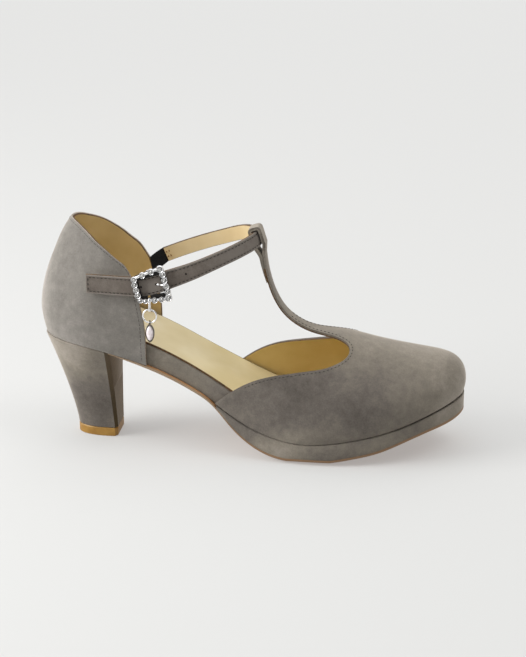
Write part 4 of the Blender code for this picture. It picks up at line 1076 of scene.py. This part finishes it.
# The rim across the inner end is stained brown
which[np.all(under[outer_faces] < lanes.shape[1], axis=1)] = 3
strap = make("strap_suede", outer, outer_faces, [strap_suede, strap_suede, dyed_edge, brown_edge], "suede",
             which=which, worn=edge_highlight_share.ravel()[under])
soften(strap, STRAP_ROUND)
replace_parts(strap, "ankle_strap")
inner, inner_faces, which, _ = wall(points, faces, STRAP_SUEDE, STRAP_THICKNESS - STRAP_SUEDE)
lining = make("strap_lining", inner, inner_faces, [strap_lining, strap_lining, brown_edge],
              "sock_leather", which=which)
soften(lining, LINING_ROUND, 2)
lane = wide / 2 - STRAP_STITCH_INSET
sewn = knots < end_knot - TAIL_PLAIN
rows = []
for side in (-1, 1):
    path = middle + side * lane * across + STRAP_THICKNESS / 2 * outward
    rows.append(stitch_row(path[sewn], outward[sewn]))
tail = middle[-1] - STRAP_STITCH_INSET * along[-1]
rows.append(seam_across(tail, lane[-1], across[-1], outward[-1]))
make("strap_stitches", *together(rows), [thread_grey], "suede", sharp=80.0)
rows = []
for knot in END_SEAMS:
    at, _, over, out = strap_frame(knot)
    rows.append(seam_across(at, lane[0], over, -out, END_THREAD))
make("strap_end_stitches", *together(rows), [thread_tan], "sock_leather", sharp=80.0)
rows = []
for knot in HOLES:
    at, run, over, out = strap_frame(knot)
    face = at + STRAP_THICKNESS / 2 * out
    rows.append(turned(face[None], np.array([HOLE_RADIUS]), HOLE, run, over, out, 20))
make("strap_holes", *together(rows), [hole_dark], "suede", turn_out=False)

# Elastic tabs
# Two short pieces of black woven elastic, sewn into the quarter's front edges: one holds the buckle's
# centre bar, the other the strap's inner end.
ELASTIC_THICKNESS = 0.0010
CORD_PITCH, CORD_RELIEF = 0.0008, 0.00012
# How far the ends are tucked between suede and lining, as a share of the way between two rows
ELASTIC_TUCK = {-1: 0.0, 1: 0.35}
# Low edge x, low edge z, high edge x, high edge z, y
ELASTICS = {
    -1: [(-0.0587, 0.0885, -0.0605, 0.0970, -0.0238), (-0.0546, 0.0899, -0.0573, 0.0990, -0.0262),
         (-0.0505, 0.0925, -0.0533, 0.1013, -0.0283)],
    1: [(-0.0587, 0.0882, -0.0605, 0.0968, 0.0238), (-0.0554, 0.0905, -0.0578, 0.0987, 0.0257),
        (-0.0520, 0.0932, -0.0549, 0.1004, 0.0272)],
}

# Woven elastic: matt black yarn over rubber cords that run along it as fine ribs
yarn = {"Scale": 1 / 0.0006, "Detail": 2.0}
elastic_weave = mottled("elastic_weave", {"Roughness": 0.80, "Specular IOR Level": 0.25},
                        [(0.3, "#08080a"), (0.7, "#1a1a1c")], "TexNoise", yarn,
                        (0.3, 0.0002, "TexNoise", yarn))

for side, node, name in ((-1, "buckle_elastic", "outer_elastic"), (1, "strap_elastic", "inner_elastic")):
    places = np.linspace(-ELASTIC_TUCK[side], 2 + ELASTIC_TUCK[side], 40)
    lines = spline([(i, *row) for i, row in enumerate(ELASTICS[side])])(places)
    low_edge, high_edge = lines[:, [0, 4, 1]], lines[:, [2, 4, 3]]
    run = np.gradient((low_edge + high_edge) / 2, axis=0)
    out = unit(np.cross(high_edge - low_edge, run))
    v = np.linspace(0, 1, 91)
    cords = np.linalg.norm(high_edge[0] - low_edge[0]) / CORD_PITCH
    rib = CORD_RELIEF * (np.cos(2 * np.pi * v * cords) - 1)
    sheet = low_edge[:, None] + v[:, None] * (high_edge - low_edge)[:, None]
    sheet = sheet + (ELASTIC_THICKNESS / 2 + rib)[:, None] * out[:, None]
    thickness = ELASTIC_THICKNESS - 2 * CORD_RELIEF
    points, faces, _, _ = wall(sheet.reshape(-1, 3), grid(*sheet.shape[:2]), 0.0, thickness)
    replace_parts(make(name, points, faces, [elastic_weave], "elastic"), node)

# Buckle
# A cast silver-plated trapezium on which crystals sit in round cups, with a centre bar behind the strap
# and a prong through the strap's hole over the front rail.
# Centre of the buckle as x and z, and the knots of the strap's route between which it lies
BUCKLE_AT = (-0.0505, 0.0975)
BUCKLE_KNOTS = (11, 15)
BUCKLE_HALF_LENGTH = 0.0082
BUCKLE_REAR_HALF = 0.0065
BUCKLE_FRONT_HALF = 0.0089
BUCKLE_CORNER = 0.0022
# Beads are counted from the rear low corner: those at the four corners, the last closing the ring, and the
# place of the charm's link
CORNER_BEADS = (0, 4, 9, 12, 16)
CHARM_BEAD = 1.25
BEAD_RADIUS = 0.00155
RAIL_RADIUS = 0.00080
CENTRE_BAR_RADIUS = 0.00070
CENTRE_BAR_BEND = 0.0010
PRONG_RADIUS = 0.00060

# Silver plating on cast metal: a clear bright mirror with faint polishing marks
silver, tree, shader = start("silver_plate", {"Base Color": linear("#f3f3f4"), "Metallic": 1.0})
swirl = add(tree, "TexNoise", {"Scale": 1 / 0.0012, "Detail": 3.0},
            {"Vector": add(tree, "TexCoord").outputs["Object"]})
polish = add(tree, "MapRange", {"To Min": 0.16, "To Max": 0.32}, {"Value": swirl.outputs["Fac"]})
tree.links.new(polish.outputs["Result"], shader.inputs["Roughness"])

# Black bed under the crystals: painted shade for the deep shade under and between the cups, matt, without
# shine
bead_shade_sheet = start("bead_shade_sheet", {
    "Base Color": linear("#161412"), "Metallic": 0.0, "Roughness": 0.6, "Specular IOR Level": 0.3})[0]

# Foil-backed crystal: the facets mirror the room through clear glass, and the mirror's tint is painted in
# dark and bright patches that stand for facets that flash and facets that go dark
crystal = mottled("foil_crystal_painted_flashes",
                  {"Metallic": 1.0, "Roughness": 0.04, "Coat Weight": 1.0, "Coat Roughness": 0.02},
                  [(0.15, "#4a4a4a"), (0.6, "#c2c1bf")], "TexVoronoi", {"Scale": 1 / 0.0009})


def buckle_axes():
    """Centre of the buckle on the strap's middle line, and the strap's directions there, along forwards."""
    t = np.linspace(*BUCKLE_KNOTS, 401)
    middle = strap_frame(t)[0]
    nearest = t[np.argmin(np.hypot(middle[:, 0] - BUCKLE_AT[0], middle[:, 2] - BUCKLE_AT[1]))]
    middle, along, across, outward = strap_frame(nearest)
    return middle, -along, across, outward


def buckle_outline(bead):
    """Places of beads as (along, across) pairs on a trapezium, even on each of its sides, with its corners
    rounded by quadratic curves (1-t)^2 a + 2t(1-t) b + t^2 c."""
    corner = np.array([(-BUCKLE_HALF_LENGTH, -BUCKLE_REAR_HALF), (BUCKLE_HALF_LENGTH, -BUCKLE_FRONT_HALF),
                       (BUCKLE_HALF_LENGTH, BUCKLE_FRONT_HALF), (-BUCKLE_HALF_LENGTH, BUCKLE_REAR_HALF)])
    before = corner + BUCKLE_CORNER * unit(np.roll(corner, 1, 0) - corner)
    after = corner + BUCKLE_CORNER * unit(np.roll(corner, -1, 0) - corner)
    t = np.linspace(0, 1, 15)[:, None]
    fine = (1 - t)**2 * before[:, None] + 2 * t * (1 - t) * corner[:, None] + t**2 * after[:, None]
    fine = fine.reshape(-1, 2)
    fine = np.append(fine, fine[:1], 0)
    run = run_along(fine)
    at_corner = run[len(t) // 2:-1:len(t)]
    place = np.interp(bead, CORNER_BEADS, np.append(at_corner, at_corner[0] + run[-1])) % run[-1]
    return np.stack([np.interp(place, run, fine[:, 0]), np.interp(place, run, fine[:, 1])], -1)


def tube(path, reference, radius, sides, closed=False):
    """Rings round a path, square to it; reference is any direction off the path's run."""
    run = unit(np.roll(path, -1, 0) - np.roll(path, 1, 0)) if closed else unit(np.gradient(path, axis=0))
    first = unit(np.cross(run, reference))
    second = np.cross(run, first)
    angle = np.linspace(0, 2 * np.pi, sides, endpoint=False)
    ring = np.cos(angle)[:, None] * first[:, None] + np.sin(angle)[:, None] * second[:, None]
    rings = path[:, None] + np.broadcast_to(radius, len(path))[:, None, None] * ring
    return np.append(rings, rings[:1], 0) if closed else rings


def open_tube(path, reference, radius, sides):
    """Tube along a smoothed open path, its first and last three rings drawn in to round ends."""
    run = run_along(path)
    path = spline(np.column_stack([run, path]))(np.linspace(0, run[-1], 48))
    girth = np.ones(len(path))
    girth[:3] = (0.02, 0.55, 0.85)
    rings = tube(path, reference, radius * np.minimum(girth, girth[::-1]), sides)
    return rings.reshape(-1, 3), grid(len(rings), sides, closed=True)


middle, along, across, outward = buckle_axes()
stand_off = STRAP_THICKNESS / 2 + MEETING_GAP + BEAD_RADIUS


def over_strap(place, lift=0.0):
    """Points of the buckle at (along, across) places, lifted from the rail's height."""
    return middle + (stand_off + lift) * outward + place[:, :1] * along + place[:, 1:] * across


rail_line = over_strap(buckle_outline(np.arange(CORNER_BEADS[-1] * 12) / 12))
rings = tube(rail_line, outward, RAIL_RADIUS, 12, closed=True)
reach = (BUCKLE_REAR_HALF + BUCKLE_FRONT_HALF) / 2
behind = STRAP_THICKNESS / 2 + MEETING_GAP + CENTRE_BAR_RADIUS
bend = CENTRE_BAR_BEND
bar_line = np.array([(stand_off, reach), (bend - behind, reach), (-behind, reach - bend), (-behind, 0.0),
                     (-behind, bend - reach), (bend - behind, -reach), (stand_off, -reach)])
bar_line = middle + bar_line[:, :1] * outward + bar_line[:, 1:] * across
tubes = [(rings.reshape(-1, 3), grid(len(rings), 12, closed=True)),
         open_tube(bar_line, along, CENTRE_BAR_RADIUS, 12)]
rail = make("buckle_rail", *together(tubes), [silver], "silver", sharp=70.0)
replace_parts(rail, "buckle_frame")

# Bed: a flat black ring under the cups that paints in the shade round them, open where the charm's link
# goes round the rail; offsets from the rail's middle, to the inside and outside of the frame and below it
BED_REAR, BED_FRONT, BED_OUTSIDE = 0.0020, 0.0034, 0.0010
BED_TOP, BED_BOTTOM = -0.0006, -0.0013
LINK_NOTCH = 0.18
bead = np.linspace(CHARM_BEAD + LINK_NOTCH, CHARM_BEAD + CORNER_BEADS[-1] - LINK_NOTCH, 200)
outline = buckle_outline(bead % CORNER_BEADS[-1])
run = unit(np.gradient(outline, axis=0))
inward = np.stack([-run[:, 1], run[:, 0]], -1)
on_side = np.abs(run[:, :1])
forward = smooth_step(outline[:, :1] / BUCKLE_HALF_LENGTH / 2 + 0.5)
inside = BED_REAR + (BED_FRONT - BED_REAR) * on_side * forward
corners = [(inside, BED_BOTTOM), (inside, BED_TOP), (-BED_OUTSIDE, BED_TOP), (-BED_OUTSIDE, BED_BOTTOM)]
rings = np.stack([over_strap(outline + offset * inward, lift) for offset, lift in corners], 1)
make("buckle_shade_sheet", rings, lid(rings), [bead_shade_sheet], "silver")

# Cup profile from the rail to the stone: share of the radius, height over the rail's middle
CUP = [(0.30, -0.0009), (0.75, -0.0007), (0.97, 0.0000), (1.00, 0.0005), (0.97, 0.0009), (0.88, 0.0012),
       (0.74, 0.0011), (0.66, 0.0007), (0.02, 0.0006)]
# Cups are fused where they meet; the two front corners have larger ones, and the one behind the charm's link
# is set back from it
CUP_RADIUS = 0.0018
CORNER_CUP = 0.0021
LINK_CUP, LINK_CUP_PLACE = 0.00150, 0.70
# Stone profile: share of the radius, height; eight facets round a flat table
STONE = [(0.68, 0.0007), (0.66, 0.0009), (0.50, 0.0013), (0.28, 0.0015), (0.02, 0.0015)]

bead = np.arange(CORNER_BEADS[-1], dtype=float)
bead[1] = LINK_CUP_PLACE
centres = over_strap(buckle_outline(bead))
radius = np.full(len(bead), CUP_RADIUS)
radius[list(CORNER_BEADS[1:3])] = CORNER_CUP
radius[:2] = LINK_CUP
points, faces = turned(centres, radius, CUP, along, across, outward, 20)
make("crystal_cups", points, faces, [silver], "silver", sharp=60.0, turn_out=False)
points, faces = turned(centres, radius, STONE, along, across, outward, 8)
make("buckle_crystals", points, faces, [crystal], "silver", sharp=5.0, turn_out=False)

# Prong from the strap's hole up and over the front rail: place along the frame, height
on_strap = STRAP_THICKNESS / 2 + MEETING_GAP + PRONG_RADIUS
over_rail = stand_off + BEAD_RADIUS + MEETING_GAP + PRONG_RADIUS
prong_line = np.array([
    (0.0030, on_strap), (0.0046, on_strap + 0.0004), (0.0060, over_rail - 0.0008), (0.0072, over_rail),
    (BUCKLE_HALF_LENGTH + 0.0008, over_rail),
])
prong_line = middle + prong_line[:, :1] * along + prong_line[:, 1:] * outward
prong = make("prong", *open_tube(prong_line, across, PRONG_RADIUS, 12), [silver], "silver", sharp=70.0)
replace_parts(prong, "buckle_prong")

# Charm
# A wire link on the buckle's low rail, a round jump ring in the link, and a pointed oval stone in a dark
# bezel that hangs by its eye from the ring. Each swings on the one above it.
LINK_BEND = 0.00145
LINK_REACH = 0.0048
LINK_WIRE = 0.00042
RING_RADIUS = 0.0037
RING_WIRE = 0.00045
DROP_EYE = 0.00105
DROP_EYE_WIRE = 0.00035
DROP_LENGTH = 0.0105
DROP_HALF_WIDTH = 0.0025
# The eye is sunk into the bezel by this much, and the ends are the more pointed the higher this power
EYE_SUNK = 0.0004
DROP_POINT = 1.25

# Darkened silver of the bezel: grey, satin, nearly black in places
dark_silver = mottled("dark_silver", {"Metallic": 1.0, "Roughness": 0.32},
                      [(0.35, "#4a463f"), (0.65, "#8f8a80")],
                      "TexNoise", {"Scale": 1 / 0.0010, "Detail": 3.0})

# Milky pale rose stone: glossy, nearly white
pale_stone = mottled("pale_stone", {"Roughness": 0.06, "Coat Weight": 1.0, "Coat Roughness": 0.03},
                     [(0.3, "#d9c8cb"), (0.7, "#f6eff0")], "TexNoise", {"Scale": 1 / 0.0016, "Detail": 3.0})

pivots = {joint["child"]: np.array(joint["pos_m"]) for joint in frame["joints"]}
turn = np.linspace(0, np.pi, 24)
bend = LINK_BEND * np.stack([0 * turn, np.cos(turn), np.sin(turn)], -1)
link_line = pivots["charm_link"] + np.concatenate([bend, -bend - (0.0, 0.0, LINK_REACH)])
rings = tube(link_line, np.array((1.0, 0.0, 0.0)), LINK_WIRE, 12, closed=True)
link = make("link_wire", rings, grid(len(rings), 12, closed=True), [silver], "silver", "charm_link",
            sharp=80.0)
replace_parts(link, "charm_link")

ring_low, ring_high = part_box("charm_ring")
ring_centre = np.array((ring_low + ring_high) / 2)
spin = np.linspace(0, 2 * np.pi, 72, endpoint=False)
ring_line = ring_centre + RING_RADIUS * np.stack([np.cos(spin), 0 * spin, np.sin(spin)], -1)
rings = tube(ring_line, np.array((0.0, 1.0, 0.0)), RING_WIRE, 12, closed=True)
ring = make("jump_ring", rings, grid(len(rings), 12, closed=True), [silver], "silver", "charm_ring",
            sharp=80.0)
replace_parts(ring, "charm_ring")

eye_line = pivots["charm_drop"] + DROP_EYE * np.stack([0 * spin, np.cos(spin), np.sin(spin)], -1)
eye = tube(eye_line, np.array((1.0, 0.0, 0.0)), DROP_EYE_WIRE, 10, closed=True)


def navette(share, lift, count=64):
    """Pointed oval: half width a power of sin(s), length cos(s), scaled by share; lift moves it outwards."""
    s = np.linspace(0, np.pi, count // 2 + 1)
    half = DROP_HALF_WIDTH * np.sin(s)**DROP_POINT
    wide, rise = mirrored(np.column_stack([half, -DROP_LENGTH / 2 * np.cos(s)]))
    below = DROP_EYE - EYE_SUNK + DROP_LENGTH / 2
    return pivots["charm_drop"] + np.stack([share * wide, np.full(count, -lift), share * rise - below], -1)


# Bezel section from its back round the wall to the seat of the stone: share of the outline, lift outwards
BEZEL = [(0.02, -0.0012), (0.55, -0.0012), (0.90, -0.0009), (1.00, -0.0002), (1.00, 0.0006), (0.95, 0.0010),
         (0.86, 0.0010), (0.80, 0.0005), (0.40, 0.0003), (0.02, 0.0003)]
# Stone section: share of the outline, lift outwards
DOME = [(0.82, 0.0005), (0.80, 0.0008), (0.60, 0.0013), (0.30, 0.0016), (0.02, 0.0016)]
bezel = np.array([navette(share, lift) for share, lift in BEZEL])
parts = [(rings.reshape(-1, 3), grid(*rings.shape[:2], closed=True)) for rings in (eye, bezel)]
drop = make("drop_bezel", *together(parts), [dark_silver], "stone", "charm_drop", sharp=50.0)
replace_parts(drop, "charm_drop")
dome = np.array([navette(share, lift, 16) for share, lift in DOME])
make("drop_stone", dome, grid(len(dome), 16, closed=True), [pale_stone], "stone", "charm_drop", sharp=8.0,
     turn_out=False)
